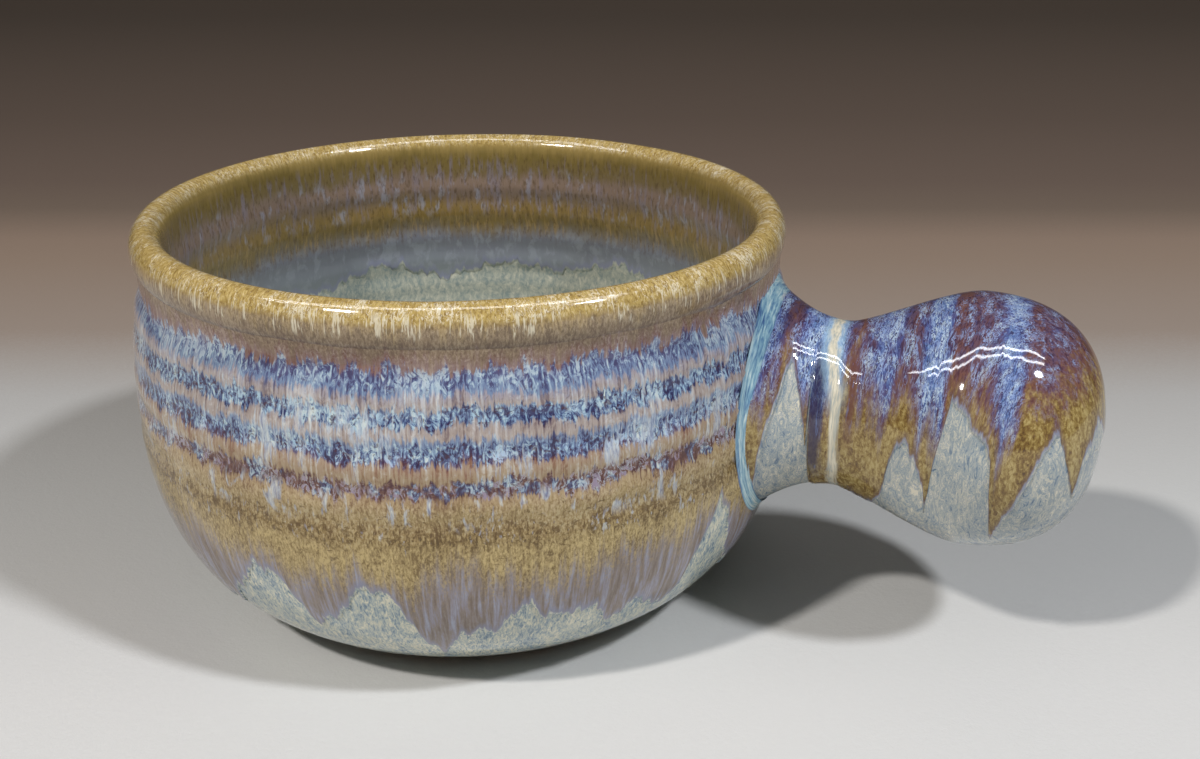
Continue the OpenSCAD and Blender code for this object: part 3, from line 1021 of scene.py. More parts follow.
        # Distance from the lip's crest in millimetres
        away = bench.add("size", bench.add("minus", along, self.lip_along - 0.4))
        away = bench.total(away, bench.swing(self.lip_sway, 1.6))
        honey = bench.add("tones", bench.pattern(self.honey), stops=HONEY_TONES)
        colour = bench.add("lay", bench.add("step", away, 4.0, 2.6), colour, honey)
        cream = bench.total(bench.pattern(self.cream), bench.swing(self.cream_patch, 0.4))
        cream = bench.share_of(bench.add("step", cream, 0.54, 0.62), bench.add("step", away, 3.6, 2.4))
        colour = bench.paint(colour, cream, "#f0e8d2", 0.75)
        drip = bench.total(bench.pattern(self.lip_drip), bench.swing(self.lip_drip_patch, 0.5),
                           bench.add("times", bench.add("size", bench.add("minus", away, 3.2)), -0.03))
        drip = bench.share_of(bench.add("step", drip, 0.53, 0.6), bench.between(away, 1.8, 5.6, 0.8),
                              bench.add("step", along, self.lip_along + 4, self.lip_along - 1))
        return bench.paint(colour, drip, "#e4dcc4", 0.75)

    def material(self, name: str, region: Region) -> bpy.types.Material:
        """Builds the material of one stretch.

        Args:
            name: Name of the material.
            region: The stretch.

        Returns:
            The material.
        """
        bench = GlazeBench(name)
        height = bench.add("times", bench.add("parts", bench.add("place"), out=2), 1 / MM)
        if region is Region.OUTSIDE:
            colour = self.outside(bench, height)
        elif region is Region.INSIDE:
            colour = self.inside(bench, height)
        else:
            over = bench.add("step", bench.add("on_piece", attribute_name="along"),
                             self.lip_along - 1.5, self.lip_along + 1.5)
            colour = bench.add("lay", over, self.outside(bench, height), self.inside(bench, height))
        return bench.dress(self.lip(bench, colour), self.roughness, [
            (bench.pattern(self.wave), self.wave_depth), (bench.pattern(self.skin), self.skin_depth)])


# How blue the handle's top is, by distance from the bowl's axis in millimetres
HANDLE_LEVELS = (
    (62, 0.6), (66, 0.6), (68.5, 0.46), (70, 0.3), (71.5, 0.36), (73, 0.64), (75.5, 0.7), (78, 0.7),
    (80.5, 0.45), (82.5, 0.26), (84.5, 0.42), (86.5, 0.58), (89.5, 0.56), (92.5, 0.34), (94.5, 0.4),
    (96.2, 0.68), (99, 0.62), (100.6, 0.2), (103, 0.32), (106.5, 0.34), (108.5, 0.45), (110, 0.66),
    (112, 0.56), (113.6, 0.26), (117, 0.34), (121, 0.26), (126, 0.2),
)
# Tones of the handle's top from red-brown to blue, of its ochre sides, of its base coat and of the cream ring
HANDLE_TONES = ((0.1, "#78503f"), (0.26, "#6b4d52"), (0.42, "#5b5070"), (0.58, "#4f5a92"), (0.76, "#5c7cae"))
OCHRE_TONES = ((0.3, "#5a4430"), (0.42, "#7c6238"), (0.52, "#99834f"), (0.64, "#b8a570"))
HANDLE_BASE_TONES = (
    (0.28, "#5b7088"), (0.38, "#8797a4"), (0.44, "#b5b9b2"), (0.48, "#8293a2"), (0.53, "#b0b5b0"),
    (0.57, "#d5d0bc"), (0.61, "#8e9dab"), (0.68, "#dcd7c4"))
RING_TONES = ((0.35, "#a9b0ac"), (0.5, "#d2ccb8"), (0.62, "#e2dcc8"))


@dataclass(frozen=True)
class HandleGlaze:
    """Second coat of the handle: purple-blue over red-brown on top, ochre on the sides, run to points."""

    base: PaleBase = PaleBase(HANDLE_BASE_TONES, Pattern(1.4, 3.6, 4.0, 0.62, 1.9, 15))
    root: float = 61.0
    length: float = 67.0
    axis_z: float = 45.4
    # The top: tones, dark gaps and where the light fibres lie
    tone: Pattern = Pattern(1.2, 3, 4.0, 0.65, 1.0, 82)
    gap: Pattern = Pattern(0.7, 2.4, 4.0, 0.65, 1.2, 92)
    clump: Pattern = Pattern(2.2, 4, 3.0, 0.6, 0.6, 94)
    # The ochre sides
    wander: Pattern = Pattern(2.2, 26, 3.0, seed=81)
    grain: Pattern = Pattern(0.6, 1.1, 5.0, 0.72, 0.4, 84)
    grain_patch: Pattern = Pattern(3, 8, 2.0, seed=89)
    column: Pattern = Pattern(1.4, 40, 4.0, 0.62, seed=86)
    # The cream ring at the waist: how far out it is and how far it leans outwards on top
    ring_s: float = 80.1
    ring_lean: float = 2.2
    ring_sway: Pattern = Pattern(0.8, 10, 4.0, 0.62, 0.4, 87)
    ring_strand: Pattern = Pattern(0.4, 6, 3.0, 0.6, 0.4, 95)
    line_strand: Pattern = Pattern(0.4, 5, 3.0, 0.6, 0.5, 96)
    tooth: Pattern = Pattern(0.8, 6, 4.0, seed=88)
    tooth_depth: float = 3.6
    wave: Pattern = Pattern(5, 8, 1.0, seed=91)
    wave_depth: float = 0.14
    roughness: float = 0.06

    def top(self, bench: GlazeBench, level: Socket) -> Socket:
        """Lays blue and red-brown columns, crossed by fine light fibres and dark gaps.

        Args:
            bench: The material under construction.
            level: How blue the handle is.

        Returns:
            The colour socket.
        """
        colour = bench.add("tones", bench.total(level, bench.swing(self.tone, 0.8)), stops=HANDLE_TONES)
        colour = bench.paint(colour, bench.mask(self.gap, 0.48, 0.6), "#35223a", 0.7)
        clump = bench.total(level, bench.swing(self.clump, 2.0))
        for size, hue, low in ((Pattern(0.7, 3.0, 3.0, 0.6, 1.2, 83), "#93aad8", 0.15),
                               (Pattern(0.6, 2.4, 3.0, 0.6, 1.5, 93), "#c8dcea", 0.45)):
            middle = bench.add("size", bench.add("minus", bench.pattern(size), 0.5))
            fibre = bench.share_of(bench.add("step", middle, 0.06, 0.012),
                                   bench.add("step", clump, low, low + 0.35))
            colour = bench.paint(colour, fibre, hue, 0.85)
        return colour

    def waist(self, bench: GlazeBench, colour: Socket, out: Socket, above: Socket) -> Socket:
        """Lays the cream ring at the waist, bluish on top, between a navy and a red-brown line.

        Args:
            bench: The material under construction.
            colour: What lies below.
            out: Distance from the bowl's axis in millimetres.
            above: Height above the handle's axis in millimetres.

        Returns:
            The colour socket.
        """
        wandering = bench.total(out, bench.swing(self.wander, 3.0))
        for first, last, hue, low in ((75.2, 78.0, "#2c2746", -14.0), (82.0, 84.0, "#6c4846", -4.0)):
            line = bench.share_of(bench.between(wandering, first, last, 0.6),
                                  bench.add("step", above, low, low + 9.0),
                                  bench.add("step", above, 15.5, 12.0))
            strand = bench.share_of(line, bench.mask(self.line_strand, 0.57, 0.66))
            colour = bench.paint(bench.paint(colour, line, hue, 0.85), strand, "#7288bc", 0.5)
        near = bench.total(out, bench.swing(self.ring_sway, 2.6),
                           bench.add("times", bench.add("step", above, 5.0, 16.5), self.ring_lean))
        ring = bench.add("size", bench.add("minus", near, self.ring_s))
        halo = bench.paint(colour, bench.add("step", ring, 2.8, 0.8), "#9dbfd8", 0.75)
        colour = bench.add("lay", bench.add("step", above, 2.0, 13.0), colour, halo)
        strand = bench.add("tones", bench.pattern(self.ring_strand), stops=RING_TONES)
        return bench.add("lay", bench.add("step", ring, 1.5, 0.3), colour, strand)

    def material(self, name: str) -> bpy.types.Material:
        """Builds the material.

        Args:
            name: Name of the material.

        Returns:
            The material.
        """
        bench = GlazeBench(name)
        spot = bench.spot()
        out = bench.add("parts", spot)
        above = bench.add("minus", bench.add("parts", spot, out=2), self.axis_z)
        wandering = bench.total(out, bench.swing(self.wander, 3.0))
        share = bench.add("times", bench.add("minus", wandering, self.root), 1 / self.length)
        level = bench.add("tones", share,
                          stops=[((mm - self.root) / self.length, level) for mm, level in HANDLE_LEVELS])
        # Ochre sides with gold and brown grain, which reach higher between the blue columns
        grain = bench.total(bench.pattern(self.grain), bench.swing(self.grain_patch, 0.4))
        depth = bench.total(above, bench.swing(self.column, 22.0),
                            bench.add("times", bench.add("minus", level, 0.45), 26.0))
        colour = bench.paint(self.top(bench, level), bench.add("step", depth, 17.0, 8.0), "#7a5044", 0.55)
        colour = bench.add("lay", bench.add("step", depth, 13.0, 3.0), colour,
                           bench.add("tones", grain, stops=OCHRE_TONES))
        colour = self.waist(bench, colour, out, above)
        # The run's edge over the base coat: a brown line, a thin lavender one, then the coat below
        edge = bench.total(bench.add("on_piece", attribute_name="edge"),
                           bench.swing(self.tooth, self.tooth_depth))
        colour = bench.paint(colour, bench.add("step", edge, 3.6, 1.6), "#6f5a54", 0.55)
        colour = bench.paint(colour, bench.add("step", edge, 1.8, 0.9), "#8d93ac", 0.8)
        colour = bench.add("lay", bench.add("step", edge, 1.2, 0.1), colour, self.base.colour(bench))
        return bench.dress(colour, self.roughness, [(bench.pattern(self.wave), self.wave_depth)])


@dataclass(frozen=True)
class PooledGlaze:
    """Turquoise glass pooled thick in the crease, with light streaks drawn along it, whose lightest tones are
    partly painted highlight.
    """

    # From deep blue to near white: the lightest tones are the glaze's light strands and partly painted
    # highlight
    tones: Stops = ((0.3, "#44649a"), (0.41, "#7099b8"), (0.51, "#95bccc"), (0.61, "#bdd8dc"),
                    (0.71, "#e4ede8"))
    deep: str = "#50608c"
    strand: Pattern = Pattern(0.4, 7, 4.0, 0.62, 0.6, 101)
    patch: Pattern = Pattern(3, 9, 3.0, seed=104)
    rim: Pattern = Pattern(0.6, 6, 3.0, seed=102)
    wave: Pattern = Pattern(1.2, 6, 2.0, seed=103)
    wave_depth: float = 0.08
    roughness: float = 0.07

    def material(self, name: str) -> bpy.types.Material:
        """Builds the material.

        Args:
            name: Name of the material.

        Returns:
            The material.
        """
        bench = GlazeBench(name)
        strand = bench.total(bench.pattern(self.strand), bench.swing(self.patch, 0.6))
        rim = bench.total(bench.add("on_piece", attribute_name="edge"), bench.swing(self.rim, 0.9))
        # The streaks' lightest tones carry painted highlight as well as the glaze's own light strands
        colour = bench.add("tones", strand, stops=self.tones)
        colour = bench.paint(colour, bench.add("step", rim, 0.7, 1.1), self.deep, 0.6)
        return bench.dress(colour, self.roughness, [(bench.pattern(self.wave), self.wave_depth)])


@dataclass(frozen=True)
class Tabletop:
    """Matt paper sweep: pale grey with a faint fibre grain under the bowl, warmer behind it, and darker
    behind it as painted shade where the light falls off.
    """

    # Tones by distance behind the bowl's axis in millimetres; the darkening towards the back is painted shade
    # of the light falling off
    tones: Stops = ((-150, "#d8dad9"), (-60, "#d4d4d3"), (20, "#c2c3c2"), (85, "#b0afad"), (138, "#96887d"),
                    (212, "#8f7c6c"), (240, "#8c7868"), (285, "#6f5f51"), (330, "#67564a"), (470, "#5d4d41"),
                    (850, "#53463a"))
    fleck: Pattern = Pattern(0.9, 0.9, 4.0, 0.7, seed=111)
    fibre: Pattern = Pattern(1.1, 1.1, 4.0, 0.7, seed=112)
    fibre_depth: float = 0.1
    roughness: float = 0.9

    def material(self, name: str, turn: float) -> bpy.types.Material:
        """Builds the material.

        Args:
            name: Name of the material.
            turn: Direction in which the painted shade darkens it, in radians from +Y.

        Returns:
            The material.
        """
        bench = GlazeBench(name)
        bench.flow = bench.spot()
        away = bench.add("parts", bench.add("turned", bench.flow, turn), out=1)
        first, last = self.tones[0][0], self.tones[-1][0]
        # Painted shade: the paper darkens towards the back, where the light falls off
        share = bench.add("times", bench.add("minus", away, float(first)), 1 / (last - first))
        colour = bench.add("tones", bench.total(share, bench.swing(self.fleck, 0.02)),
                           stops=[((mm - first) / (last - first), hue) for mm, hue in self.tones])
        return bench.dress(colour, self.roughness, [(bench.pattern(self.fibre), self.fibre_depth)])


# The pieces

# Radii in millimetres at which the teeth of the run's outer and inner edges are measured
OUTER_EDGE_R = 62
INNER_EDGE_R = 60
# Corners of the edge of the runs outside: azimuth in degrees and height in millimetres
OUTER_EDGE = RunEdge((
    (-180, 17), (-172, 9), (-161, 21), (-150, 9.5), (-139, 17), (-129, 8), (-122, 11.5), (-114, 15),
    (-108, 22.5), (-102.5, 28.5), (-99, 26), (-96.5, 20.5), (-94, 16), (-90, 19.5), (-86.5, 25),
    (-83, 28), (-80, 26), (-78, 19.5), (-74.8, 13.5), (-73, 8.5), (-71.5, 13.5), (-69.5, 17.5),
    (-65, 16.5), (-61.5, 21.5), (-58.5, 23), (-55, 19.5), (-52, 19), (-49, 20.5), (-46.5, 17.5),
    (-44, 14.5), (-40.5, 17), (-38, 18.5), (-35, 14), (-32, 13.5), (-29.5, 19), (-27, 27), (-24, 35.5),
    (-21.5, 30), (-17, 18), (-10, 12), (0, 15.5), (10, 11), (17, 20), (23.3, 31), (28, 19), (38, 10),
    (52, 22.8), (64, 10), (77, 27.6), (89, 11), (101, 19), (112, 10), (124, 25.5), (136, 10), (146, 20.5),
    (158, 11), (171, 27)))
INNER_EDGE = RunEdge((
    (-170, 48), (-156, 42), (-141, 44), (-127, 41), (-112, 47), (-95, 41), (-80, 45), (-64, 41), (-48, 47),
    (-33, 41), (-18, 45), (-2, 43), (12, 49), (28, 43), (43, 47), (59, 44), (74, 49), (90, 45), (104, 47),
    (118, 43), (133, 48), (148, 43), (162, 45)), 0.4, seed=9)
# The same on the handle: distance from the bowl's axis and height above the handle's
HANDLE_EDGE = RunEdge((
    (58, -6), (62, -9), (64.7, -19), (67.3, -2), (69, 5), (70.2, 9.2), (71, 12), (73.1, 8), (74.8, 0),
    (75.4, -16.6), (82, -17), (88, -15), (89.8, -11), (91, -4), (92.1, 0), (93.7, 3), (95.9, -1.5),
    (97.5, -6), (98.3, -12), (98.9, -3), (99.6, 3), (100.4, 8), (101.2, 12), (103, 10.7), (104.5, 7.3),
    (107.5, 5.4), (108.6, 3), (109, -4), (110.1, -16), (112.5, -10), (114.8, -3), (116.7, 1.7),
    (118.9, 6.4), (120.7, 3.5), (122, -0.2), (123.4, -6.5), (124.5, -1), (126, 1), (130, 1)), 0.4, 0.0, 5)
# How much higher the base coat shows on the tip: distance to the side and height in millimetres
TIP_TEETH = ((-17, 0), (-10, 5), (-6, 0.5), (0.5, 9), (5, 1.5), (10, 7), (16, 0))
# Distances of the coats' faces from the clay, and the gap that keeps each coat off what it lies on
BASE_LIFT = 0.3
RUN_LIFT = 0.63
BOND = 0.03


@dataclass
class ThrownBowl:
    """The glazed bowl: its clay outline, and the coats that lie on it."""

    height: float = 79.4
    belly_r: float = 67.2
    belly_z: float = 42.0
    neck_r: float = 63.1
    neck_drop: float = 5.8
    neck_lean: float = 128.0
    lip_r: float = 62.5
    lip_w: float = 5.2
    lip_h: float = 7.6
    wall_t: float = 4.6
    foot_r: float = 43.5
    foot_h: float = 1.3
    heel_lean: float = 32.0
    floor_r: float = 18.0
    floor_z: float = 9.5
    wipe_z: float = 2.4
    # Angles on the lip's oval where the outside ends and the inside begins
    lip_from: float = -35.0
    lip_to: float = 175.0
    groove_low: float = 41.5
    base_groove: float = 0.45
    run_groove: float = 0.34
    # Widths of the rounded edges of the base coat, of the runs outside and of those inside
    base_edge: float = 1.2
    run_edge: float = 1.6
    inner_edge: float = 1.8
    # Heights on the outer and inner wall below which the base coat shows and is drawn finely
    shown_z: float = 40.0
    shown_again_z: float = 60.0
    # Inside, patterns draw together towards the middle of the floor: from this height down, over this depth
    draw_in_z: float = 11.0
    draw_in: float = 10.0
    columns: int = 700

    def __post_init__(self) -> None:
        """Draws the clay outline from the heel over the lip to the middle of the floor."""
        self.lip_z = self.height - self.lip_h / 2
        self.neck_z = self.lip_z - self.neck_drop
        heel, belly = np.array([self.foot_r + 1, self.foot_h]), np.array([self.belly_r, self.belly_z])
        neck, lean = np.array([self.neck_r, self.neck_z]), heading(self.neck_lean)
        rise, lower = self.neck_z - self.belly_z, self.belly_z - self.foot_h
        first, last = self.lip_point(self.lip_from), self.lip_point(self.lip_to)
        inner = np.array([self.belly_r - self.wall_t, self.belly_z])
        drop = 0.3 * (self.lip_z - self.belly_z)
        floor = np.array([self.floor_r, self.floor_z])
        # The shares are how far the curves of the CAD outline reach before they bend
        outside = np.vstack([
            bezier(heel, heel + 0.05 * self.belly_z * heading(self.heel_lean),
                   belly - [0, 0.85 * lower], belly, 120),
            bezier(belly, belly + [0, 0.3 * rise], neck - 0.22 * rise * lean, neck, 90),
            bezier(neck, neck + 0.4 * self.neck_drop * lean,
                   first - 0.4 * self.neck_drop * self.lip_heading(self.lip_from), first, 24)])
        lip = np.array([self.lip_point(a) for a in np.linspace(self.lip_from, self.lip_to, 90)])
        inside = np.vstack([
            bezier(last, last + drop * self.lip_heading(self.lip_to), inner + [0, drop], inner, 80),
            bezier(inner, inner - [0, 0.8 * (self.belly_z - self.floor_z)],
                   [self.floor_r + 0.72 * (inner[0] - self.floor_r), self.floor_z], floor, 120),
            np.array([[self.floor_r * k, self.floor_z] for k in (0.75, 0.5, 0.25, 0.0)])])
        self.outline = Outline(np.vstack([outside, lip, inside]))
        self.lip_start, self.crest, self.lip_end = [
            self.nearest(self.lip_point(angle)) for angle in (self.lip_from, 90.0, self.lip_to)]
        self.turns = np.linspace(0, TURN, self.columns, endpoint=False)

    def lip_point(self, angle: float) -> np.ndarray:
        """A point on the lip's oval, by its angle in degrees."""
        across, up = heading(angle)
        return np.array([self.lip_r + self.lip_w / 2 * across, self.lip_z + self.lip_h / 2 * up])

    def lip_heading(self, angle: float) -> np.ndarray:
        """The direction along the lip's oval.

        Args:
            angle: Angle on the oval in degrees.

        Returns:
            A unit direction as radius and height.
        """
        across, up = heading(angle)
        ahead = np.array([-self.lip_w * up, self.lip_h * across])
        return ahead / np.linalg.norm(ahead)

    def nearest(self, target: np.ndarray) -> float:
        """Length along the outline at the point nearest to a target."""
        return float(self.outline.along[np.argmin(np.linalg.norm(self.outline.points - target, axis=1))])

    def along_at(self, height: float | np.ndarray, inside: bool) -> np.ndarray:
        """Length along the outline at a height on the outer or the inner wall.

        Args:
            height: Heights in millimetres.
            inside: Whether the inner wall is meant.

        Returns:
            Lengths from the heel.
        """
        along, z = self.outline.along, self.outline.points[:, 1]
        if inside:
            part = along >= self.lip_end
            return np.interp(height, z[part][::-1], along[part][::-1])
        part = along <= self.lip_start
        return np.interp(height, z[part], along[part])

    def edges(self, turns: np.ndarray) -> tuple[np.ndarray, np.ndarray]:
        """Where the runs end on the outer and the inner wall.

        Args:
            turns: Azimuths in radians.

        Returns:
            Two rows of lengths from the heel.
        """
        degrees = np.degrees(turns)
        outer, inner = [edge.height(degrees, 360 / (TURN * radius)) for edge, radius in (
            (OUTER_EDGE, OUTER_EDGE_R), (INNER_EDGE, INNER_EDGE_R))]
        return self.along_at(outer, False), self.along_at(inner, True)

    def coat(self, start: np.ndarray, end: np.ndarray, rows: int, back_rows: int,
             taper: tuple[float, float] = (0, 0)) -> Coat:
        """Stations of one closed second coat: up its face and back along its underside.

        Args:
            start: Where each column starts on the outline.
            end: Where each column ends.
            rows: Stations on the face.
            back_rows: Stations on the underside.
            taper: Width of the rounded edge at the start and at the end, 0 for a square one.

        Returns:
            The coat.
        """
        under = BASE_LIFT + BOND
        face, back = [start[:, None] + (end - start)[:, None] * t[None, :]
                      for t in (np.linspace(0, 1, rows), np.linspace(1, 0, back_rows))]
        full = np.ones_like(face)
        for width, gap in zip(taper, (face - start[:, None], end[:, None] - face)):
            if width:
                full = np.minimum(full, rounded(gap, width))
        along = np.hstack([face, back])
        lift = np.hstack([under + (RUN_LIFT - under) * full, np.full_like(back, under)])
        return Coat(self.outline, along, lift, np.repeat(self.turns[:, None], along.shape[1], 1))

    def base_stations(self) -> Coat:
        """Stations of the base coat, close together where it shows.

        Returns:
            The coat.
        """
        wipe, shown = [float(self.along_at(z, False)) for z in (self.wipe_z, self.shown_z)]
        again, last = float(self.along_at(self.shown_again_z, True)), self.outline.along[-1]
        face = np.concatenate([np.linspace(wipe, shown, 56)[:-1], np.linspace(shown, again, 26)[:-1],
                               np.linspace(again, last, 74)])
        back = np.linspace(last, wipe, 40)
        lift = BOND + (BASE_LIFT - BOND) * rounded(face - wipe, self.base_edge)
        turns = self.turns[::2]
        along, lift = [np.tile(np.concatenate(pair), (len(turns), 1))
                       for pair in ((face, back), (lift, np.full_like(back, BOND)))]
        return Coat(self.outline, along, lift, np.repeat(turns[:, None], along.shape[1], 1))

    def finish(self, piece: bpy.types.Object) -> None:
        """Gives a piece's points the flow, the length from the heel and the distance to the run's edge.

        Args:
            piece: The piece.
        """
        along = read(piece, "along")
        at = places(piece)
        turn = np.arctan2(at[:, 1], at[:, 0])
        radius = np.hypot(at[:, 0], at[:, 1])
        wall = np.where(along > self.lip_end, eased((at[:, 2] - self.draw_in_z) / self.draw_in), 1.0)
        spread = radius + (self.belly_r - radius) * wall
        flow = np.column_stack([spread * np.cos(turn), spread * np.sin(turn), along])
        outer, inner = self.edges(turn)
        note(piece, flow=flow, along=along, edge=np.where(along < self.crest, along - outer, inner - along))

    def build(self) -> list[bpy.types.Object]:
        """Makes the base coat, the runs outside, the lip and the runs inside.

        Returns:
            The four pieces.
        """
        outer, inner = self.edges(self.turns)
        lip_start, lip_end = np.full_like(outer, self.lip_start), np.full_like(outer, self.lip_end)
        glaze = RunGlaze(lip_along=self.crest, groove_low=self.groove_low)
        runs, lip, inside = self.run_groove, Region.LIP, Region.INSIDE
        rows = (
            ("base_coat", self.base_groove, self.base_stations(), PaleBase().material("celadon_base_glaze"),
             "base_glaze", "base_glaze"),
            ("wall_runs", runs, self.coat(outer, lip_start + BOND, 118, 9, (self.run_edge, 0)),
             glaze.material("rutile_run_glaze", Region.OUTSIDE), "wall_glaze", "wall_run_glaze"),
            ("lip_break", runs, self.coat(lip_start, lip_end, 44, 7),
             glaze.material("honey_lip_glaze", lip), "lip_glaze", "lip_glaze"),
            ("inside_runs", runs, self.coat(lip_end - BOND, inner, 60, 7, (0, self.inner_edge)),
             glaze.material("olive_inside_glaze", inside), "inner_glaze", "inner_run_glaze"))
        pieces = []
        for name, depth, coat, material, slot, node in rows:
            wheel = Wheel(groove_depth=depth, groove_low=self.groove_low, neck=self.neck_z)
            piece = wheel.throw(name, coat, material)
            self.finish(piece)
            pieces.append(settle(piece, slot, node))
        return pieces


@dataclass
class KnobHandle:
    """The hollow knob handle's two coats, and the vent hole under its waist."""

    axis_z: float = 45.4
    root_r: float = 23.3
    root_s: float = 61.03
    waist_r: float = 15.7
    waist_s: float = 79.7
    knob_r: float = 24.0
    knob_s: float = 104.6
    tip_s: float = 128.0
    start_s: float = 62.95
    run_edge: float = 1.4
    # Patterns are narrow on the handle's side, and widen over the cap from a little before the knob's middle
    side_flow: float = 0.25
    cap_lead: float = 8.0
    cap_blend: float = 20.0
    # Where the teeth of the tip begin, and over what length they come in
    tip_from: float = 120.5
    tip_blend: float = 5.0
    wobble: float = 0.1
    wobble_seed: float = 9.0
    vent_r: float = 1.2
    vent_reach: float = 3.0
    vent_drill: float = 12.0

    def __post_init__(self) -> None:
        """Draws the outline from the root to the tip, as radius and distance from the bowl's axis."""
        neck, reach, cap = self.waist_s - self.root_s, self.knob_s - self.waist_s, self.tip_s - self.knob_s
        # The shares are how far the curves of the CAD outline reach before they bend
        self.outline = Outline(np.vstack([
            bezier([self.root_r, self.root_s], [self.root_r, self.root_s + 0.21 * neck],
                   [self.waist_r, self.waist_s - 0.54 * neck], [self.waist_r, self.waist_s], 60),
            bezier([self.waist_r, self.waist_s], [self.waist_r, self.waist_s + 0.15 * reach],
                   [self.knob_r, self.knob_s - 0.25 * reach], [self.knob_r, self.knob_s], 60),
            bezier([self.knob_r, self.knob_s], [self.knob_r, self.knob_s + 0.54 * cap],
                   [0.77 * self.knob_r, self.tip_s], [0, self.tip_s], 80)]))
        self.first, self.last = self.along_at(self.start_s), float(self.outline.along[-1])

    def along_at(self, out: float) -> float:
        """Length along the outline at a distance from the bowl's axis."""
        return float(np.interp(out, self.outline.points[:, 1], self.outline.along))

    def base_stations(self, turns: int = 180, face: int = 150, back: int = 60) -> Coat:
        """Stations of the base coat, as full rings.

        Args:
            turns: Number of stations round the handle.
            face: Stations from the root to the tip.
            back: Stations on the way back.

        Returns:
            The coat.
        """
        along = np.concatenate([np.linspace(self.first, self.last, face),
                                np.linspace(self.last, self.first, back)])
        lift = np.where(np.arange(face + back) < face, BASE_LIFT, BOND)
        turn = np.linspace(0, TURN, turns + 1)[:-1]
        return Coat(self.outline, np.tile(along, (turns, 1)), np.tile(lift, (turns, 1)),
                    np.repeat(turn[:, None], face + back, 1))

    def run_stations(self, columns: int = 190, face: int = 150, back: int = 26) -> Coat:
        """Stations of the second coat, as arches over the handle that end at the run's edge.

        Args:
            columns: Number of arches.
            face: Stations on the face of each arch.
            back: Stations on its underside.

        Returns:
            The coat.
        """
        along = np.linspace(self.first, self.last, columns)
        place, _ = self.outline.at(along)
        radius, out = place[:, 0], place[:, 1]
        edge = HANDLE_EDGE.height(out, 1.0)
        reach = np.arccos(np.clip(edge / np.maximum(radius, 0.05), -1, 1))
        turn = reach[:, None] * np.concatenate([np.linspace(-1, 1, face), np.linspace(1, -1, back)])[None, :]
        gap = radius[:, None] * np.cos(turn) - edge[:, None]
        under = BASE_LIFT + BOND
        lift = np.full_like(turn, under)
        lift[:, :face] += (RUN_LIFT - under) * rounded(gap[:, :face], self.run_edge)
        return Coat(self.outline, np.repeat(along[:, None], face + back, 1), lift, turn + math.pi, ring=False)

    def finish(self, piece: bpy.types.Object) -> None:
        """Gives the points the flow over the handle's sides and the height above the run's edge.

        Args:
            piece: The piece.
        """
        x, y, z = places(piece).T
        above = z - self.axis_z
        cap = eased((x - self.knob_s + self.cap_lead) / self.cap_blend)
        tip = eased((x - self.tip_from) / self.tip_blend) * np.interp(y, *np.array(TIP_TEETH, float).T)
        flow = np.column_stack([x, y * (self.side_flow + (1 - self.side_flow) * cap), above])
        note(piece, flow=flow, edge=above - HANDLE_EDGE.height(x, 1.0) - tip)

    def vented(self, piece: bpy.types.Object) -> bpy.types.Object:
        """Cuts the vent hole through a coat.

        Args:
            piece: The coat.

        Returns:
            The coat with its hole.
        """
        radius = (self.vent_r + BOND) * MM
        work = bmesh.new()
        bmesh.ops.create_cone(work, cap_ends=True, segments=32, radius1=radius, radius2=radius,
                              depth=self.vent_drill * MM)
        centre = Vector((self.waist_s + self.vent_reach, 0, self.axis_z - self.waist_r)) * MM
        bmesh.ops.translate(work, verts=work.verts, vec=centre)
        drill = hung("vent_drill", bpy.data.meshes.new("vent_drill"))
        work.to_mesh(drill.data)
        work.free()
        cut = piece.modifiers.new("vent", "BOOLEAN")
        cut.operation, cut.object, cut.solver = "DIFFERENCE", drill, "EXACT"
        mesh = plain_mesh(piece)
        piece.modifiers.clear()
        piece.data = mesh
        bpy.data.objects.remove(drill)
        return piece

    def build(self) -> list[bpy.types.Object]:
        """Makes both coats of the handle.

        Returns:
            The two pieces.
        """
        glaze = HandleGlaze(root=self.root_s, length=self.tip_s - self.root_s, axis_z=self.axis_z)
        wheel = Wheel(wobble=self.wobble, seed=self.wobble_seed, tilt=(0.0, math.pi / 2, 0.0),
                      centre=(0.0, 0.0, self.axis_z))
        pieces = []
        for name, coat, material, slot, node in (
                ("handle_base_coat", self.base_stations(), glaze.base.material("grey_blue_base_glaze"),
                 "handle_base_glaze", "handle_base_glaze"),
                ("handle_runs", self.run_stations(), glaze.material("purple_run_glaze"),
                 "handle_glaze", "handle_run_glaze")):
            piece = self.vented(wheel.throw(name, coat, material))
            self.finish(piece)
            pieces.append(settle(piece, slot, node))
        return pieces


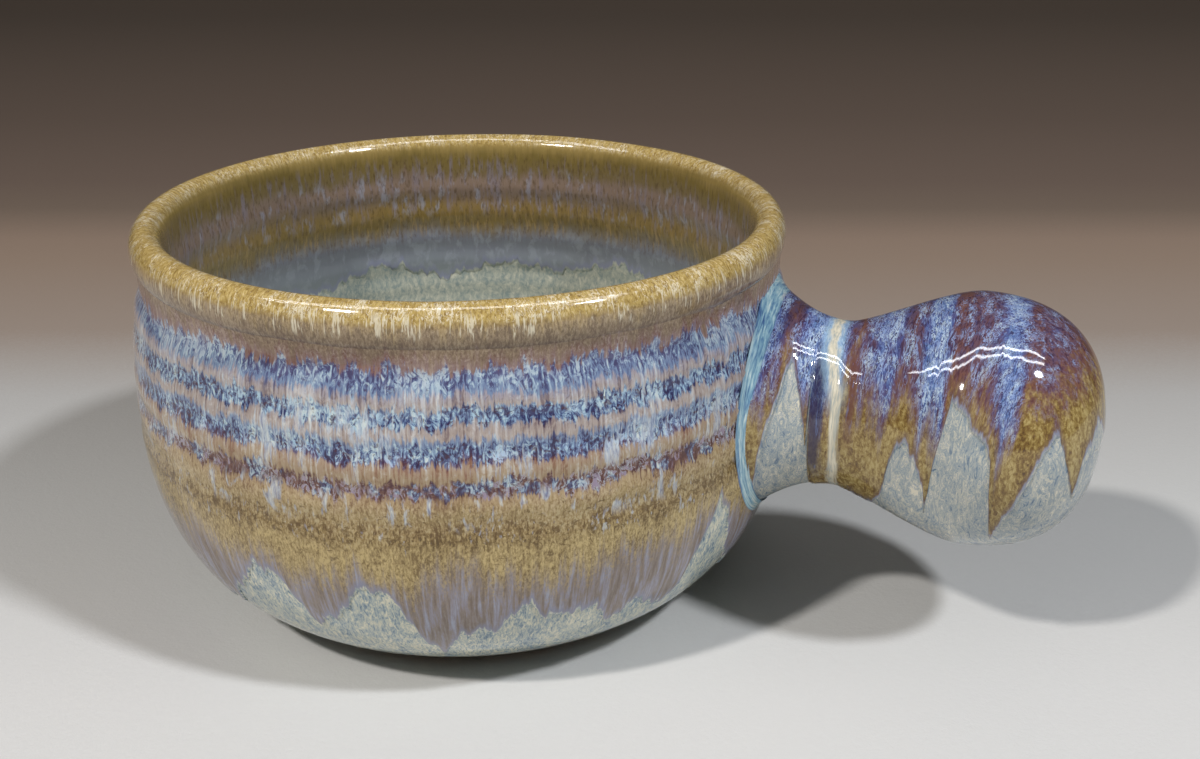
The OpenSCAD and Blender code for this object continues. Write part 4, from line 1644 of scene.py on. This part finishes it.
@dataclass
class CreasePool:
    """Glaze that pooled between the handle's root and the wall, as one fillet round the joint."""

    bowl: ThrownBowl
    handle: KnobHandle
    width_top: float = 2.6
    width_low: float = 1.5
    # How far the hollow is filled, from its corner towards the chord
    fill: float = 0.1
    # How much a pattern's sizes are drawn out across the fillet and round the handle
    flow_across: float = 1.6
    flow_round: float = 75.0
    rounds: int = 260
    points: int = 9
    samples: int = 500

    def wall_radius(self, z: np.ndarray) -> np.ndarray:
        """Radius of the glazed wall at a height.

        Args:
            z: Heights in millimetres.

        Returns:
            Radii in millimetres.
        """
        outline = self.bowl.outline
        part = outline.along <= self.bowl.lip_start
        radius, height = (outline.points[part] + RUN_LIFT * outline.facing[part]).T
        return np.interp(z, height, radius)

    def section(self, turn: float) -> np.ndarray:
        """One section through the fillet: a hollow curve from wall to handle, and a point under it.

        Args:
            turn: Angle round the handle in radians, from the top.

        Returns:
            Rows of x, y and z in millimetres.
        """
        line = self.handle.outline
        along = np.linspace(0, self.handle.along_at(self.handle.waist_s), self.samples)
        place, face = line.at(along)
        radius, x = (place + face * RUN_LIFT).T
        up, aside = math.cos(turn), math.sin(turn)
        y, z = radius * aside, self.handle.axis_z + radius * up
        # The first station of the handle's side that is clear of the wall
        hit = int(np.argmax(np.hypot(x, y) > self.wall_radius(z)))
        corner = np.array([x[hit], y[hit], z[hit]])
        width = self.width_low + (self.width_top - self.width_low) * max(up, 0) ** 1.5
        on_handle = np.array([np.interp(along[hit] + width, along, v) for v in (x, y, z)])
        target = corner + np.array([0.0, aside, up]) * width
        spin, reach = math.atan2(target[1], corner[0]), float(self.wall_radius(target[2]))
        on_wall = np.array([reach * math.cos(spin), reach * math.sin(spin), target[2]])
        inward = corner - 0.5 * ((on_handle - corner) + (on_wall - corner)) / width
        bend = corner * (1 - self.fill) + self.fill * (on_wall + on_handle) / 2
        t = np.linspace(0, 1, self.points)[:, None]
        curve = (1 - t) ** 2 * on_wall + 2 * t * (1 - t) * bend + t**2 * on_handle
        return np.vstack([curve, inward[None, :]])

    def build(self) -> bpy.types.Object:
        """Makes the fillet.

        Returns:
            The piece.
        """
        turns = np.linspace(0, TURN, self.rounds, endpoint=False)
        points = np.array([self.section(turn) for turn in turns]) * MM
        size = points.shape[1]
        mesh = bpy.data.meshes.new("crease_pool")
        mesh.from_pydata(points.reshape(-1, 3).tolist(), [], grid_faces(self.rounds, size))
        piece = closed_outwards(hung("crease_pool", mesh))
        # From -1 on the wall to 1 on the handle, with the point under the curve at 0
        across = np.tile(np.r_[np.linspace(-1, 1, size - 1), 0], self.rounds)
        round_at = self.flow_round * np.abs(np.sin(np.repeat(turns, size) / 2))
        flow = np.column_stack([across * self.flow_across, np.zeros_like(across), round_at])
        note(piece, flow=flow, edge=np.abs(across))
        piece.data.materials.append(PooledGlaze().material("turquoise_pooled_glaze"))
        return settle(piece, "crease_glaze", "crease_glaze")


@dataclass
class Clay:
    """The clay solids of the frame, which keep their shape and get bare stoneware."""

    # Each node with the colour of its clay
    nodes: tuple = (("bowl_body", "#a78a6b"), ("knob_handle", "#a2866a"), ("joint_slip", "#94795d"))

    def dress(self) -> None:
        """Puts the stoneware on the CAD nodes."""
        for name, body in self.nodes:
            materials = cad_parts[name].data.materials
            materials.clear()
            materials.append(BareStoneware(body=body).material("bare_stoneware_" + name))
            LOG.info("%s keeps its CAD mesh, in bare stoneware", name)


class Shape(Enum):
    """Shape of an area light: a disk faces the bowl, a rectangle hangs level and in line with the camera."""

    DISK = "DISK"
    RECTANGLE = "RECTANGLE"


@dataclass(frozen=True)
class Lamp:
    """One area light: its place and two sides in metres, watts, colour and shape."""

    name: str
    at: tuple[float, float, float]
    sides: tuple[float, float]
    power: float
    colour: str
    shape: Shape = Shape.RECTANGLE
    # Whether the glaze mirrors it, and whether it also lights the surfaces
    seen: bool = True
    lit: bool = True


LAMPS = (
    Lamp("ceiling", (0.1, 0.6, 1.3), (1.2, 0.9), 1.5, "#fffaf4", seen=False),
    Lamp("front", (-0.1, -0.9, 1.5), (0.9, 0.6), 0.9, "#fffcf8", seen=False),
    Lamp("tube_near", (-0.01, -0.28, 1.2), (2.1, 0.045), 6.2, "#f4f8ff", lit=False),
    Lamp("tube_far", (-0.05, -0.13, 1.2), (2.1, 0.045), 6.2, "#f4f8ff", lit=False),
    Lamp("lamp_left", (-0.45, -0.86, 1.1), (0.1, 0.1), 12.8, "#fffaf5", Shape.DISK),
    Lamp("lamp_right", (0.98, -0.26, 1.2), (0.14, 0.14), 14.2, "#f6f8fc", Shape.DISK),
)


@dataclass
class Studio:
    """A plain table and backdrop, two thin tubes and two lamps above, and the photograph's camera."""

    eye: tuple = (0.1069, -0.2482, 0.1525)
    forward: tuple = (-0.2752, 0.8809, -0.3849)
    lens: float = 40.5
    sensor: float = 36.0
    aim: tuple = (0.04, 0.0, 0.04)
    # The table: half its width, where it starts, where it bends up, the bend's radius and its top, in metres
    half: float = 2.5
    front: float = -1.2
    bend: float = 0.9
    bend_r: float = 0.5
    top: float = 2.2
    room_colour: str = "#d4d4d6"
    room_light: float = 0.03

    def __post_init__(self) -> None:
        """Works out how far the camera is turned from +Y."""
        self.turn = math.atan2(-self.forward[0], self.forward[1])

    def camera(self) -> None:
        """Sets the camera that the proportions were fitted with."""
        data = bpy.data.cameras.new("camera")
        data.lens, data.sensor_width = self.lens, self.sensor
        data.clip_start, data.clip_end = 0.01, 20
        camera = hung("camera", data)
        camera.location = self.eye
        camera.rotation_euler = Vector(self.forward).to_track_quat("-Z", "Y").to_euler()
        bpy.context.scene.camera = camera

    def hang(self, lamp: Lamp) -> None:
        """Hangs one area light.

        Args:
            lamp: The light.
        """
        data = bpy.data.lights.new(lamp.name, "AREA")
        data.shape, data.size, data.size_y = lamp.shape.value, *lamp.sides
        data.energy, data.color = lamp.power, linear(lamp.colour)[:3]
        light = hung(lamp.name, data)
        light.location = lamp.at
        facing = (Vector(self.aim) - Vector(lamp.at)).to_track_quat("-Z", "Y").to_euler()
        light.rotation_euler = facing if lamp.shape is Shape.DISK else (0, 0, self.turn)
        light.visible_glossy, light.visible_diffuse = lamp.seen, lamp.lit

    def table(self) -> None:
        """Lays the table and its backdrop as one sweep."""
        back = self.bend + self.bend_r
        bent = [(self.bend + self.bend_r * math.sin(a), self.bend_r - self.bend_r * math.cos(a))
                for a in np.linspace(0.1, math.pi / 2, 12)]
        section = [(self.front, 0.0), (self.bend, 0.0), *bent, (back, self.top)]
        cos, sin = math.cos(self.turn), math.sin(self.turn)
        points = [(side * cos - y * sin, side * sin + y * cos, z)
                  for side in (-self.half, self.half) for y, z in section]
        count = len(section)
        faces = [(k, count + k, count + k + 1, k + 1) for k in range(count - 1)]
        mesh = bpy.data.meshes.new("table")
        mesh.from_pydata(points, [], faces)
        mesh.shade_smooth()
        mesh.materials.append(Tabletop().material("paper_tabletop", -self.turn))
        hung("table", mesh)

    def build(self) -> None:
        """Sets up camera, table, lights and the room's faint light."""
        self.camera()
        self.table()
        world = bpy.data.worlds.new("room")
        world.use_nodes = True
        room = world.node_tree.nodes["Background"].inputs
        room["Color"].default_value = linear(self.room_colour)
        room["Strength"].default_value = self.room_light
        bpy.context.scene.world = world
        for lamp in LAMPS:
            self.hang(lamp)
        bpy.context.scene.view_settings.view_transform = "Standard"


def main() -> None:
    """Builds the pieces in order."""
    logging.basicConfig(level=logging.INFO, format="%(name)s: %(message)s")
    bowl = ThrownBowl()
    bowl.build()
    handle = KnobHandle()
    handle.build()
    CreasePool(bowl, handle).build()
    Clay().dress()
    Studio().build()


if __name__ == "__main__":
    main()
